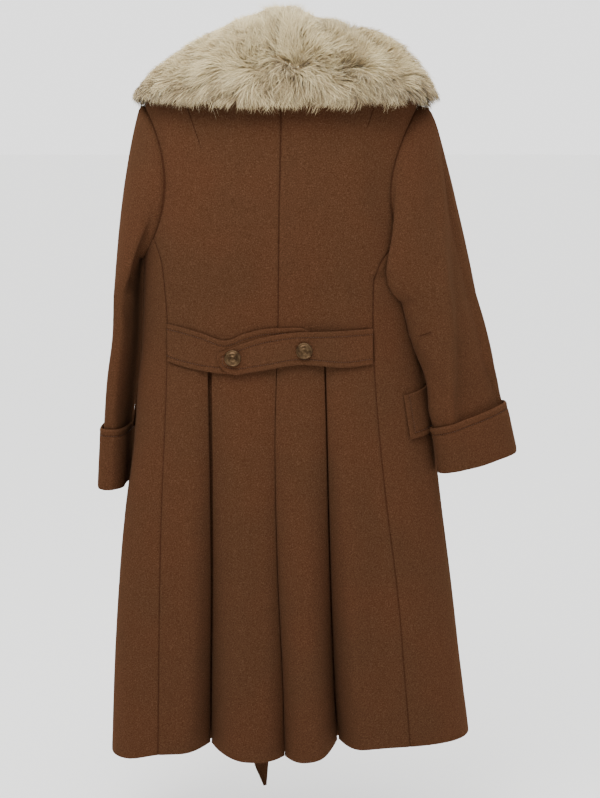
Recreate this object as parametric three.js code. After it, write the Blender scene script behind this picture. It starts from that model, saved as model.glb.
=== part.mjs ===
// A princess coat in brown wool with a cream fur collar, hollow and open as it is when worn.
// Millimetres, +Z up. The wearer faces +Y, so the back of the coat is towards -Y and the wearer's
// right arm is towards +X. The origin is on the coat's upright axis, level with the back neck seam.
//
// The body of the coat is one smooth surface: upright rings, each a superellipse with its own
// half width to the left and right and its own depth to the back and front. Panels are patches of
// that surface between named seams. Each panel is a cloth wall with its own thickness.

import * as THREE from 'three';

// ---------- driving dimensions ----------
const CLOTH = 2.6; // wall thickness of the wool cloth
const SEAM_GAP = 0.5; // clear space between two pieces at a seam
const HEM_Z = -1105; // level of the hem below the back neck seam
const WAIST_Z = -458; // waist seam, hidden under the half belt
const SHOULDER_Z = -101; // outer end of the shoulder seam
const ARMPIT_Z = -335; // lowest point of the armhole
// How far each armhole reaches round to the back and the front. skew moves its widest part down.
const ARMHOLE = {
  left: { back: THREE.MathUtils.degToRad(36.5), front: THREE.MathUtils.degToRad(40), skew: 0 },
  right: { back: THREE.MathUtils.degToRad(41), front: THREE.MathUtils.degToRad(40), skew: 0.14 },
};
const NECK_SIDE_Z = -20; // neckline at the shoulder seam
const NECK_BACK_Z = -6; // neckline at the centre back
const NECK_FRONT_Z = -95; // neckline at the centre front
const FRONT_OVERLAP = 70; // each front passes the centre by this much
const UNDERLAP_DEPTH = 4.8; // how far the under front lies behind the upper one
const ARM_STEPS = 24; // points round an armhole and a sleeve
const BUTTON_RADIUS = 12.3;
const STRAP = 3; // thickness of a doubled strap of the half belt
const SASH_WIDTH = 48;
const SASH_Z = -458; // level of the tie belt's middle

// Rings of the coat's surface. left and right are half widths, back and front are depths,
// power is the superellipse's exponent: 2 is an ellipse, more is squarer.
const RINGS = [
  { z: 20, left: 66, right: 66, back: 52, front: 58, power: 2.1 },
  { z: 0, left: 69, right: 69, back: 57, front: 63, power: 2.1 },
  { z: -20, left: 77, right: 77, back: 64, front: 69, power: 2.15 },
  { z: -60, left: 140, right: 140, back: 80, front: 84, power: 2.2 },
  { z: -101, left: 205, right: 205, back: 92, front: 96, power: 2.3 },
  { z: -106, left: 207, right: 206, back: 93, front: 97, power: 2.3 },
  { z: -150, left: 208, right: 207, back: 99, front: 106, power: 2.35 },
  { z: -218, left: 209, right: 207, back: 103, front: 117, power: 2.4 },
  { z: -300, left: 210, right: 207, back: 101, front: 119, power: 2.45 },
  { z: -335, left: 211, right: 207, back: 98, front: 113, power: 2.5 },
  { z: -400, left: 213, right: 210, back: 89, front: 97, power: 2.55 },
  { z: -458, left: 215, right: 214, back: 85, front: 90, power: 2.6 },
  { z: -522, left: 222, right: 222, back: 91, front: 96, power: 2.7 },
  { z: -616, left: 231, right: 236, back: 99, front: 103, power: 2.85 },
  { z: -741, left: 248, right: 252, back: 106, front: 109, power: 3.0 },
  { z: -850, left: 259, right: 267, back: 110, front: 113, power: 3.1 },
  { z: -993, left: 268, right: 285, back: 115, front: 118, power: 3.25 },
  { z: -1160, left: 276, right: 304, back: 120, front: 123, power: 3.35 },
];

// Where the long seams of the back cross each level, as x on the back of the coat.
// From the armhole down to the waist they shape the back; below it they let the skirt flare.
const BACK_SEAMS = [
  { z: -301, left: -191, right: 180 },
  { z: -314, left: -187, right: 165 },
  { z: -328, left: -182, right: 153 },
  { z: -342, left: -179, right: 145 },
  { z: -375, left: -176, right: 138 },
  { z: -428, left: -173, right: 138 },
  { z: -489, left: -174, right: 140 },
  { z: -573, left: -177, right: 146 },
  { z: -697, left: -183, right: 159 },
  { z: -855, left: -188, right: 179 },
  { z: -1160, left: -194, right: 203 },
];

// The same for the long seams of the front.
const FRONT_SEAMS = [
  { z: -301, left: -186, right: 184 },
  { z: -335, left: -166, right: 164 },
  { z: -375, left: -148, right: 146 },
  { z: -458, left: -126, right: 126 },
  { z: -573, left: -140, right: 142 },
  { z: -741, left: -162, right: 166 },
  { z: -1160, left: -192, right: 206 },
];

// The centre back line and the mouths of the three pleats of the back skirt, as x.
const PLEAT_LINES = [
  { z: -6, centre: 0 },
  { z: -110, centre: 0 },
  { z: -270, centre: -3 },
  { z: -426, centre: -5 },
  { z: -458, left: -109, centre: -6, right: 65 },
  { z: -619, left: -109, centre: -10, right: 70 },
  { z: -789, left: -110, centre: -7, right: 75 },
  { z: -1014, left: -115, centre: 2, right: 84 },
  { z: -1160, left: -118, centre: 5, right: 94 },
];

// Size of each pleat at the waist and at the hem. mouth is the gap between its two folded edges,
// roll is how deep the cloth curls in before the mouth, rollWidth is the width of that curl on the
// side of the long seam, reach is how far the hidden cloth spreads behind on each side.
const PLEATS = {
  left: { mouthTop: 9, mouthHem: 5, rollTop: 2, rollHem: 58, rollWidth: 46, reachTop: 24, reachHem: 36 },
  centre: { mouthTop: 3.4, mouthHem: 4.4, rollTop: 1.2, rollHem: 34, reachTop: 18, reachHem: 28 },
  right: { mouthTop: 5, mouthHem: 5, rollTop: 2, rollHem: 64, rollWidth: 42, reachTop: 18, reachHem: 32 },
};
const PLEAT_BEND = { top: 2.6, hem: 6 }; // radius where the cloth turns behind a folded edge
const PLEAT_TURN = { top: 2.6, hem: 5.5 }; // radius of the hidden turns
const ROLL_CURVE = 2.4; // how sharply the curl steepens towards the mouth

// Height of the hem above or below HEM_Z, by x on the back.
const BACK_HEM = [
  { x: -276, rise: -12 },
  { x: -245, rise: -9 },
  { x: -190, rise: 6 },
  { x: -128, rise: 11 },
  { x: -50, rise: -2 },
  { x: 30, rise: -3 },
  { x: 60, rise: 1 },
  { x: 92, rise: 14 },
  { x: 184, rise: 20 },
  { x: 304, rise: 20 },
];

// Levels of the panels' rows. The ones beside the armhole are those of the sleeve's own points.
const armTurn = (step) => (2 * Math.PI * step) / ARM_STEPS;
const armholeLevel = (step) => mix(ARMPIT_Z, SHOULDER_Z, (1 + Math.cos(armTurn(step))) / 2);
const SKIRT_LEVELS = [HEM_Z, -1040, -960, -870, -770, -680, -600, -535, -490, WAIST_Z];
const WAIST_TO_CHEST = [-425, -390, -364];
const SIDE_SEAM_STEP = 9; // the long seams leave the armhole at this step
const CHEST_LEVELS = [-342, -328, -314];
const SHOULDER_LEVELS = [-92, -78, -64, -50, -36, NECK_SIDE_Z];
const YOKE_BACK_Z = -104; // at the centre back, the row that meets the top of the armhole
const YOKE_FRONT_Z = -155; // and at the centre front

// Each sleeve hangs through these sections, from just under the armhole to its end.
// x, y is the middle, across and deep are half sizes, yaw turns it, tilt lifts its outer side,
// ridge is the place of a lengthwise fold as a turn round the section.
const SLEEVE_LEFT = [
  { z: -388, x: -238, y: 16, across: 13, deep: 74, yaw: 6, tilt: 0 },
  { z: -445, x: -241, y: 22, across: 13, deep: 72, yaw: 6.5, tilt: 0 },
  { z: -520, x: -249.5, y: 27, across: 14.5, deep: 70, yaw: 8, tilt: 0 },
  { z: -600, x: -260, y: 33, across: 14, deep: 70, yaw: 5, tilt: 2 },
  { z: -645, x: -262.5, y: 35, across: 14.5, deep: 70, yaw: 5.5, tilt: 2 },
  { z: -686, x: -264.5, y: 37, across: 15, deep: 70, yaw: 6, tilt: 2 },
];
const SLEEVE_RIGHT = [
  { z: -391, x: 233, y: -28, across: 65, deep: 50, yaw: 20, tilt: 4, ridge: 1.55 },
  { z: -445, x: 256, y: -35, across: 58, deep: 41, yaw: 22, tilt: 8, ridge: 1.75 },
  { z: -500, x: 274, y: -38, across: 53, deep: 34, yaw: 24, tilt: 13, ridge: 2.1 },
  { z: -550, x: 281, y: -38, across: 58, deep: 28, yaw: 25, tilt: 17, ridge: 2.35 },
  { z: -595, x: 293.5, y: -36, across: 57, deep: 28, yaw: 26, tilt: 17, ridge: 2.4 },
  { z: -642, x: 303, y: -31, across: 61, deep: 28, yaw: 26, tilt: 11, ridge: 2.45 },
];
const CAP_BULGE = { left: 9, right: 12.5 }; // how far the top of the sleeve swells past a straight line
const CAP_RISE = { left: 1, right: 0.45 }; // below 1 the swelling is fullest near the shoulder
// Below the shoulder the right sleeve folds over the back, and the left one caves in. turn and
// width place the fold round the sleeve, over and off are how far it moves towards the middle of
// the back and away from it.
const BACK_FOLD = {
  left: { turn: 2.3, width: 0.55, over: -13, off: -10 },
  right: { turn: 2.5, width: 0.72, over: 29, off: 16 },
};
const UNDERARM_BULGE = 11; // how far the front of the sleeve swells under the armhole
const ARM_TWIST = { left: 0, right: 0.42 }; // turns the sleeve's points against those of the armhole
const SLEEVE_POWER = { left: 3.2, right: 2.1 }; // the superellipse's exponent of the sections
const RIDGE_SWELL = 0.22; // how far the right sleeve's fold stands out, as a share of its depth
const CUFF_CLEAR = 8.5; // the cuff's distance from the coat, past the pocket flap
const CUFF_STAND = 5.4; // the cuff's distance outside the sleeve
const CUFF_LEFT = { top: -598, end: -692 };
const CUFF_RIGHT = { top: -574, end: -648 };

// Fur collar: how high it stands and how thick the fur is, by turns round the neck.
// turn is 0 at the centre back, -1 at the left front end and 1 at the right front end.
const COLLAR = [
  { turn: -1.0, thick: 24, fall: -255, stand: 12 },
  { turn: -0.93, thick: 30, fall: -244, stand: 18 },
  { turn: -0.85, thick: 34, fall: -207, stand: 24 },
  { turn: -0.77, thick: 36, fall: -158, stand: 27 },
  { turn: -0.69, thick: 37, fall: -117, stand: 29 },
  { turn: -0.6, thick: 37, fall: -96, stand: 30 },
  { turn: -0.5, thick: 35, fall: -93, stand: 31 },
  { turn: -0.34, thick: 41, fall: -94, stand: 32 },
  { turn: -0.12, thick: 44, fall: -97, stand: 39 },
  { turn: 0.0, thick: 45, fall: -98, stand: 46 },
  { turn: 0.12, thick: 46, fall: -97, stand: 39 },
  { turn: 0.34, thick: 52, fall: -95, stand: 33 },
  { turn: 0.5, thick: 57, fall: -93, stand: 28 },
  { turn: 0.6, thick: 50, fall: -96, stand: 31 },
  { turn: 0.69, thick: 42, fall: -117, stand: 29 },
  { turn: 0.77, thick: 37, fall: -158, stand: 27 },
  { turn: 0.85, thick: 34, fall: -207, stand: 24 },
  { turn: 0.93, thick: 30, fall: -244, stand: 18 },
  { turn: 1.0, thick: 24, fall: -255, stand: 12 },
];
const RIM_SHARE = 0.84; // the fur's depth near its lower edge, as a share of thick

// Upper and lower edges of the two straps of the half belt, by x on the back.
const BELT_LEFT = [
  { x: -172, upper: -428, lower: -486 },
  { x: -151, upper: -432, lower: -492 },
  { x: -121, upper: -440, lower: -498 },
  { x: -84, upper: -451, lower: -502 },
  { x: -54, upper: -440, lower: -500 },
  { x: -17, upper: -432, lower: -493 },
  { x: 26, upper: -431, lower: -488 },
  { x: 40, upper: -436, lower: -480 },
  { x: 46, upper: -446, lower: -468 },
];
const BELT_RIGHT = [
  { x: 137, upper: -434, lower: -489 },
  { x: 95, upper: -436, lower: -493 },
  { x: 28, upper: -437, lower: -488 },
  { x: -17, upper: -443, lower: -495 },
  { x: -47, upper: -451, lower: -500 },
  { x: -69, upper: -460, lower: -503 },
  { x: -84, upper: -466, lower: -499 },
  { x: -92, upper: -470, lower: -490 },
  { x: -96, upper: -474, lower: -481 },
];
const BELT_BUTTONS = {
  left: { x: -72, z: -478 },
  right: { x: 34, z: -466 },
};

// ---------- materials ----------
const wool = () => new THREE.MeshStandardMaterial({ color: 0x6a452c, roughness: 0.92, metalness: 0 });
const fur = () => new THREE.MeshStandardMaterial({ color: 0xc9bea2, roughness: 0.85, metalness: 0 });
const buttonMetal = () => new THREE.MeshStandardMaterial({ color: 0x8a6546, roughness: 0.4, metalness: 0.55 });

// ---------- small maths ----------
const mix = (a, b, t) => a + (b - a) * t;
const clamp01 = (t) => Math.min(1, Math.max(0, t));
const smooth = (t) => clamp01(t) ** 2 * (3 - 2 * clamp01(t));
const at = (p, dx, dy, dz) => [p[0] + dx, p[1] + dy, p[2] + dz];
const along = (p, direction, distance) => p.map((v, i) => v + direction[i] * distance);
const between = (p, q, t) => p.map((v, i) => mix(v, q[i], t));
const minus = (p, q) => p.map((v, i) => v - q[i]);
const spread = (p, q) => Math.hypot(...minus(p, q));
const unit = (v) => {
  const size = Math.hypot(...v) || 1;
  return v.map((c) => c / size);
};
const cross = (a, b) => [
  a[1] * b[2] - a[2] * b[1],
  a[2] * b[0] - a[0] * b[2],
  a[0] * b[1] - a[1] * b[0],
];
const steps = (count) => Array.from({ length: count + 1 }, (_, i) => i / count);

// A smooth curve through a table's column that never overshoots its rows (monotone cubic).
function curve(table, by, column) {
  const rows = table.filter((r) => r[column] !== undefined).sort((p, q) => p[by] - q[by]);
  const x = rows.map((r) => r[by]);
  const y = rows.map((r) => r[column]);
  const slope = x.slice(1).map((_, i) => (y[i + 1] - y[i]) / (x[i + 1] - x[i]));
  const tangent = x.map((_, i) => {
    if (i === 0) return slope[0];
    if (i === x.length - 1) return slope[i - 1];
    if (slope[i - 1] * slope[i] <= 0) return 0;
    return (2 * slope[i - 1] * slope[i]) / (slope[i - 1] + slope[i]);
  });
  return (value) => {
    const v = Math.min(x[x.length - 1], Math.max(x[0], value));
    let i = 0;
    while (i < x.length - 2 && v > x[i + 1]) i += 1;
    const width = x[i + 1] - x[i];
    const t = (v - x[i]) / width;
    return (
      (2 * t ** 3 - 3 * t ** 2 + 1) * y[i] +
      (t ** 3 - 2 * t ** 2 + t) * width * tangent[i] +
      (3 * t ** 2 - 2 * t ** 3) * y[i + 1] +
      (t ** 3 - t ** 2) * width * tangent[i + 1]
    );
  };
}

// ---------- the coat's surface ----------
const RIGHT_SIDE = 0; // angles round the coat: 0 is the right side, a quarter turn is the back
const BACK = Math.PI / 2;
const LEFT_SIDE = Math.PI;

const ring = Object.fromEntries(
  ['left', 'right', 'back', 'front', 'power'].map((column) => [column, curve(RINGS, 'z', column)]),
);
const backSeam = { left: curve(BACK_SEAMS, 'z', 'left'), right: curve(BACK_SEAMS, 'z', 'right') };
const frontSeam = { left: curve(FRONT_SEAMS, 'z', 'left'), right: curve(FRONT_SEAMS, 'z', 'right') };
const pleatLine = {
  left: curve(PLEAT_LINES, 'z', 'left'),
  centre: curve(PLEAT_LINES, 'z', 'centre'),
  right: curve(PLEAT_LINES, 'z', 'right'),
};

// The point of the coat's surface at an angle and a level, moved out by spread.
function coat(angle, z, spread = 0) {
  const c = Math.cos(angle);
  const s = Math.sin(angle);
  const round = 2 / ring.power(z);
  const width = (c > 0 ? ring.right(z) : ring.left(z)) + spread;
  const depth = (s > 0 ? ring.back(z) : ring.front(z)) + spread;
  return [Math.sign(c) * width * Math.abs(c) ** round, -Math.sign(s) * depth * Math.abs(s) ** round, z];
}

// The surface's outward direction there, from two short steps across it.
function coatOut(angle, z) {
  const step = 0.01;
  const around = minus(coat(angle + step, z), coat(angle - step, z));
  const upward = minus(coat(angle, z + 2), coat(angle, z - 2));
  return unit(cross(upward, around));
}

// The angle at which the surface has a given x, on its back or its front.
function angleAt(x, z, onFront = false) {
  const width = x > 0 ? ring.right(z) : ring.left(z);
  const c = Math.sign(x) * Math.min(1, Math.abs(x) / width) ** (ring.power(z) / 2);
  return onFront ? 2 * Math.PI - Math.acos(c) : Math.acos(c);
}

const coatAtX = (x, z, onFront = false) => coat(angleAt(x, z, onFront), z);
const outAtX = (x, z, onFront = false) => coatOut(angleAt(x, z, onFront), z);

// The armhole's edge by a turn round it: 0 is its top, a quarter turn its back edge, half a turn
// the armpit. offset is its angle from the side of the coat, positive towards the back.
const ARMHOLE_MIDDLE = (SHOULDER_Z + ARMPIT_Z) / 2;
const ARMHOLE_HALF = (SHOULDER_Z - ARMPIT_Z) / 2;
function armholeEdge(side, turn, inset = 0) {
  const { back, front, skew } = ARMHOLE[side];
  const towardsBack = Math.sin(turn) > 0;
  const reach = (towardsBack ? back : front) - inset / ring.left(ARMHOLE_MIDDLE);
  const lean = towardsBack ? 1 - skew * Math.cos(turn) : 1;
  return {
    offset: reach * Math.sin(turn) * lean,
    z: ARMHOLE_MIDDLE + (ARMHOLE_HALF - inset) * Math.cos(turn),
  };
}

// ---------- cloth walls ----------
// A grid of points is the middle of the cloth. The wall goes half its thickness to each side of it,
// with a rim round its edges. A closed grid joins its last column to its first.
function gridOut(grid, closed) {
  const rows = grid.length;
  const columns = grid[0].length;
  return grid.map((row, i) =>
    row.map((_, j) => {
      const next = closed ? (j + 1) % columns : Math.min(columns - 1, j + 1);
      const last = closed ? (j + columns - 1) % columns : Math.max(0, j - 1);
      const across = minus(unit(minus(row[next], row[j])), unit(minus(row[last], row[j])));
      const up = minus(grid[Math.min(rows - 1, i + 1)][j], grid[Math.max(0, i - 1)][j]);
      return unit(cross(across, up));
    }),
  );
}

// Draws the four edges of a grid in by half the seam gap.
function drawIn(grid, closed, distance) {
  const last = grid.length - 1;
  const pulled = grid.map((row) => row.map((p) => [...p]));
  for (let j = 0; j < grid[0].length; j += 1) {
    pulled[0][j] = along(grid[0][j], unit(minus(grid[1][j], grid[0][j])), distance);
    pulled[last][j] = along(grid[last][j], unit(minus(grid[last - 1][j], grid[last][j])), distance);
  }
  if (closed) return pulled;
  return pulled.map((row) => {
    const end = row.length - 1;
    const edged = [...row];
    edged[0] = along(row[0], unit(minus(row[1], row[0])), distance);
    edged[end] = along(row[end], unit(minus(row[end - 1], row[end])), distance);
    return edged;
  });
}

// A closed solid from two matching grids, its outer and its inner face.
function solidBetween(outer, inner, closed) {
  const rows = outer.length;
  const columns = outer[0].length;
  const positions = [...outer.flat(), ...inner.flat()].flat();
  const far = rows * columns;
  const index = [];
  const quad = (a, b, c, d) => index.push(a, b, c, a, c, d);
  const spans = closed ? columns : columns - 1;
  const id = (i, j) => i * columns + (j % columns);
  for (let i = 0; i < rows - 1; i += 1) {
    for (let j = 0; j < spans; j += 1) {
      const [a, b, c, d] = [id(i, j), id(i, j + 1), id(i + 1, j + 1), id(i + 1, j)];
      const k = (j + 1) % columns;
      // both faces are split along the shorter diagonal of the outer one
      if (spread(outer[i][j], outer[i + 1][k]) <= spread(outer[i][k], outer[i + 1][j])) {
        quad(a, b, c, d);
        quad(far + c, far + b, far + a, far + d);
      } else {
        quad(b, c, d, a);
        quad(far + b, far + a, far + d, far + c);
      }
    }
  }
  for (let j = 0; j < spans; j += 1) {
    quad(far + id(0, j), far + id(0, j + 1), id(0, j + 1), id(0, j));
    quad(id(rows - 1, j), id(rows - 1, j + 1), far + id(rows - 1, j + 1), far + id(rows - 1, j));
  }
  if (!closed) {
    for (let i = 0; i < rows - 1; i += 1) {
      quad(id(i, 0), id(i + 1, 0), far + id(i + 1, 0), far + id(i, 0));
      quad(far + id(i, columns - 1), far + id(i + 1, columns - 1), id(i + 1, columns - 1), id(i, columns - 1));
    }
  }
  return outward(positions, index);
}

// Turns the faces round if the solid's signed volume says that they point inwards.
function outward(positions, index) {
  let volume = 0;
  const p = (k) => positions.slice(3 * k, 3 * k + 3);
  for (let t = 0; t < index.length; t += 3) {
    const [a, b, c] = [p(index[t]), p(index[t + 1]), p(index[t + 2])];
    const n = cross(b, c);
    volume += a[0] * n[0] + a[1] * n[1] + a[2] * n[2];
  }
  if (volume < 0) {
    for (let t = 0; t < index.length; t += 3) [index[t], index[t + 1]] = [index[t + 1], index[t]];
  }
  const geometry = new THREE.BufferGeometry();
  geometry.setAttribute('position', new THREE.Float32BufferAttribute(positions, 3));
  geometry.setIndex(index);
  geometry.computeVertexNormals();
  return geometry;
}

function clothWall(grid, { closed = false, thickness = CLOTH, gap = SEAM_GAP / 2, outs } = {}) {
  const pulled = drawIn(grid, closed, gap);
  const out = outs || gridOut(pulled, closed);
  const side = (sign) =>
    pulled.map((row, i) => row.map((p, j) => along(p, out[i][j], (sign * thickness) / 2)));
  return solidBetween(side(1), side(-1), closed);
}

// A panel of the coat: places has a row of { angle, z, point } for each level.
function panelWall(places) {
  const grid = places.map((row) => row.map(({ point }) => point));
  const outs = places.map((row) => row.map(({ angle, z }) => coatOut(angle, z)));
  return clothWall(grid, { outs });
}

const coatGroup = new THREE.Group();

function add(name, geometry, material) {
  const mesh = new THREE.Mesh(geometry, material);
  mesh.name = name;
  coatGroup.add(mesh);
}

// ---------- upper back ----------
// From the waist seam to the neckline, between the centre back seam and the long seam, the
// armhole and the shoulder seam in turn. Each row has a level at its outer edge, and bends from
// there to another level at the centre back or the centre front.
const SEAM_TOP_Z = armholeLevel(SIDE_SEAM_STEP);
const LOWER_ROWS = [WAIST_Z, ...WAIST_TO_CHEST, ...CHEST_LEVELS].map((z) => ({ edge: z, back: z, front: z }));
const ARMHOLE_ROWS = steps(SIDE_SEAM_STEP).map((t) => ({
  step: SIDE_SEAM_STEP * (1 - t),
  edge: armholeLevel(SIDE_SEAM_STEP * (1 - t)),
  back: mix(SEAM_TOP_Z, YOKE_BACK_Z, t),
  front: mix(SEAM_TOP_Z, YOKE_FRONT_Z, t),
}));
const SHOULDER_ROWS = SHOULDER_LEVELS.map((level, i) => ({
  edge: level,
  back: mix(YOKE_BACK_Z, NECK_BACK_Z, (i + 1) / SHOULDER_LEVELS.length),
  front: mix(YOKE_FRONT_Z, NECK_FRONT_Z, (i + 1) / SHOULDER_LEVELS.length),
}));
const UPPER_ROWS = [...LOWER_ROWS, ...ARMHOLE_ROWS, ...SHOULDER_ROWS];
const UPPER_COLUMNS = [0, 0.05, 0.14, 0.27, 0.42, 0.58, 0.78, 1];

// How far the neckline has dropped at an angle: 0 at the side, 1 at the centre back or front.
const bendBack = (angle) => Math.max(0, Math.sin(angle));
const bendFront = (angle) => Math.abs(Math.min(0, Math.sin(angle))) ** 3;
// The same for a row that starts at an outer angle and has not bent at all there.
const bentFrom = (bend, outer, angle) => (bend(angle) - bend(outer)) / (1 - bend(outer));

// The angle of a row's outer edge: the side, the armhole or a long seam.
function outerAngle(row, side, seamX, onFront) {
  const sideAngle = side === 'left' ? LEFT_SIDE : onFront ? 2 * Math.PI : RIGHT_SIDE;
  if (row.edge >= SHOULDER_Z) return sideAngle;
  if (row.step === undefined) return angleAt(seamX(row.edge), row.edge, onFront);
  const { offset } = armholeEdge(side, onFront ? -armTurn(row.step) : armTurn(row.step));
  return sideAngle + (side === 'left' ? -offset : offset);
}

function upperBack(side) {
  const places = UPPER_ROWS.map((row) =>
    UPPER_COLUMNS.map((c) => {
      const outer = outerAngle(row, side, backSeam[side], false);
      const inner = angleAt(pleatLine.centre(row.back) || 1e-6, row.back);
      const angle = mix(outer, inner, c);
      const z = mix(row.edge, row.back, c === 1 ? 1 : bentFrom(bendBack, outer, angle));
      return { angle, z, point: coat(angle, z) };
    }),
  );
  return panelWall(places);
}
add('back_left', upperBack('left'), wool());
add('back_right', upperBack('right'), wool());

// ---------- side panels ----------
// From the hem up to the lower curve of the armhole, between a long seam and the side seam.
const SKIRT_ROWS = SKIRT_LEVELS.slice(0, -1).map((z) => ({ edge: z, front: z }));
const SIDE_ROWS = [...SKIRT_ROWS, ...LOWER_ROWS, ARMHOLE_ROWS[0]];
const SIDE_SPLIT = -390; // above this level the rows bend up to meet the armhole

const backHem = curve(BACK_HEM, 'x', 'rise');
function hemmed(point, level) {
  return at(point, 0, 0, backHem(point[0]) * smooth(1 - (level - HEM_Z) / 160));
}

function sidePanel(side, onFront) {
  const seam = onFront ? frontSeam[side] : backSeam[side];
  const sideAngle = side === 'left' ? LEFT_SIDE : onFront ? 2 * Math.PI : RIGHT_SIDE;
  const armhole = (c) => {
    const turn = mix(armTurn(ARM_STEPS / 2), armTurn(SIDE_SEAM_STEP), c);
    return armholeEdge(side, onFront ? -turn : turn);
  };
  const places = SIDE_ROWS.map((row) =>
    steps(5).map((c) => {
      const share = Math.max(0, (row.edge - SIDE_SPLIT) / (SEAM_TOP_Z - SIDE_SPLIT));
      const z = share > 0 ? mix(SIDE_SPLIT, armhole(c).z, share) : row.edge;
      const across = mix(c, armhole(c).offset / armhole(1).offset, share);
      const angle = mix(sideAngle, outerAngle(row, side, seam, onFront), across);
      return { angle, z, point: hemmed(coat(angle, z), row.edge) };
    }),
  );
  return panelWall(places);
}
for (const side of ['left', 'right']) {
  add(`side_back_${side}`, sidePanel(side, false), wool());
  add(`side_front_${side}`, sidePanel(side, true), wool());
}

// ---------- fronts ----------
// The right front laps over the left. Both run from hem to neckline.
const FRONT_ROWS = [...SKIRT_ROWS, ...UPPER_ROWS];
const FRONT_COLUMNS = [0, 0.04, 0.11, 0.2, 0.31, 0.44, 0.58, 0.72, 0.86, 1];

function frontPanel(side) {
  const edgeX = side === 'left' ? FRONT_OVERLAP : -FRONT_OVERLAP;
  const places = FRONT_ROWS.map((row) => {
    const outer = outerAngle(row, side, frontSeam[side], true);
    const edge = angleAt(edgeX, row.front, true);
    return FRONT_COLUMNS.map((c) => {
      const angle = mix(outer, edge, c);
      const z = mix(row.edge, row.front, bentFrom(bendFront, outer, angle));
      const flat = coat(angle, z);
      const under = side === 'left' ? smooth((flat[0] + FRONT_OVERLAP + 30) / 24) : 0;
      const point = along(hemmed(flat, row.edge), coatOut(angle, z), -UNDERLAP_DEPTH * under);
      return { angle, z, point };
    });
  });
  return panelWall(places);
}
add('front_left', frontPanel('left'), wool());
add('front_right', frontPanel('right'), wool());

// ---------- pleated back skirt ----------
// One half of a pleat as [across, depth] from the flat panel to the middle of the hidden cloth:
// the cloth curls in to the mouth, turns back behind the panel, folds over and comes back.
function halfPleat(pleat, z, width) {
  const drop = (WAIST_Z - z) / (WAIST_Z - HEM_Z);
  const mouth = mix(pleat.mouthTop, pleat.mouthHem, drop) / 2;
  const roll = mix(pleat.rollTop, pleat.rollHem, drop ** 1.25);
  const reach = mix(pleat.reachTop, pleat.reachHem, drop);
  const bend = mix(PLEAT_BEND.top, PLEAT_BEND.hem, drop);
  const turn = mix(PLEAT_TURN.top, PLEAT_TURN.hem, drop);
  const curl = [1, 0.8, 0.6, 0.42, 0.27, 0.14, 0].map((s) => [
    mouth + s * (width - mouth),
    roll * (1 - s) ** ROLL_CURVE,
  ]);
  const behind = roll + 1.5 + bend;
  return [
    ...curl,
    [mouth, roll + 1.5],
    [mouth + bend * 0.3, behind - bend * 0.3],
    [mouth + bend, behind],
    [reach, behind],
    [reach + turn * 0.87, behind + turn * 0.5],
    [reach + turn * 0.87, behind + turn * 1.5],
    [reach, behind + turn * 2],
    [0, behind + turn * 2],
  ];
}

function backSkirt(side) {
  const towards = side === 'left' ? -1 : 1;
  const grid = SKIRT_LEVELS.map((level) => {
    const seamX = backSeam[side](level);
    const mouthX = pleatLine[side](level);
    const centreX = pleatLine.centre(level);
    const drop = (WAIST_Z - level) / (WAIST_Z - HEM_Z);
    const outerWidth = Math.min(mix(26, PLEATS[side].rollWidth, drop), Math.abs(seamX - mouthX) * 0.8);
    const innerSpan = Math.abs(mouthX - centreX);
    const outerHalf = halfPleat(PLEATS[side], level, outerWidth);
    const innerHalf = halfPleat(PLEATS[side], level, innerSpan * 0.52);
    const centreHalf = halfPleat(PLEATS.centre, level, innerSpan * 0.4);
    const place = (x, depth) => along(coatAtX(x, level), outAtX(x, level), -depth);
    return [
      place(seamX, 0),
      place(mix(seamX, mouthX + towards * outerWidth, 0.5), 0),
      ...outerHalf.map(([t, n]) => place(mouthX + towards * t, n)),
      ...innerHalf.reverse().slice(1).map(([t, n]) => place(mouthX - towards * t, n)),
      ...centreHalf.map(([t, n]) => place(centreX + towards * t, n)),
    ].map((p) => hemmed(p, level));
  });
  return clothWall(grid);
}
add('back_skirt_left', backSkirt('left'), wool());
add('back_skirt_right', backSkirt('right'), wool());

// ---------- sleeves and cuffs ----------
// Moves a point out if it is nearer to the coat than clear.
function clearOfCoat(p, clear) {
  const width = (p[0] > 0 ? ring.right(p[2]) : ring.left(p[2])) + clear;
  const depth = (p[1] < 0 ? ring.back(p[2]) : ring.front(p[2])) + clear;
  const power = ring.power(p[2]);
  const size = (Math.abs(p[0] / width) ** power + Math.abs(p[1] / depth) ** power) ** (1 / power);
  return size < 1 ? [p[0] / size, p[1] / size, p[2]] : p;
}

// One point of a sleeve's section, stand is its distance outside the sleeve's own surface.
function sleevePoint(side, table, z, start, stand = 0) {
  const read = (column) => curve(table, 'z', column)(z);
  const turn = start + ARM_TWIST[side];
  const lateral = side === 'left' ? -1 : 1;
  const yaw = THREE.MathUtils.degToRad(read('yaw'));
  const round = (value) => Math.sign(value) * Math.abs(value) ** (2 / SLEEVE_POWER[side]);
  const across = (read('across') + stand) * round(Math.cos(turn));
  const fold = side === 'right' ? RIDGE_SWELL * Math.exp(-(((turn - read('ridge')) / 0.34) ** 2)) : 0;
  const back = (read('deep') + stand) * round(Math.sin(turn)) * (1 + fold);
  const x = across * Math.cos(yaw) + back * Math.sin(yaw);
  const y = across * Math.sin(yaw) - back * Math.cos(yaw);
  const lift = Math.tan(THREE.MathUtils.degToRad(read('tilt'))) * x;
  return [read('x') + lateral * x, read('y') + y, z + lift];
}

const SLEEVE_TABLES = { left: SLEEVE_LEFT, right: SLEEVE_RIGHT };
const ARM_TURNS = steps(ARM_STEPS).slice(0, -1).map((t) => armTurn(t * ARM_STEPS));

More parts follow.
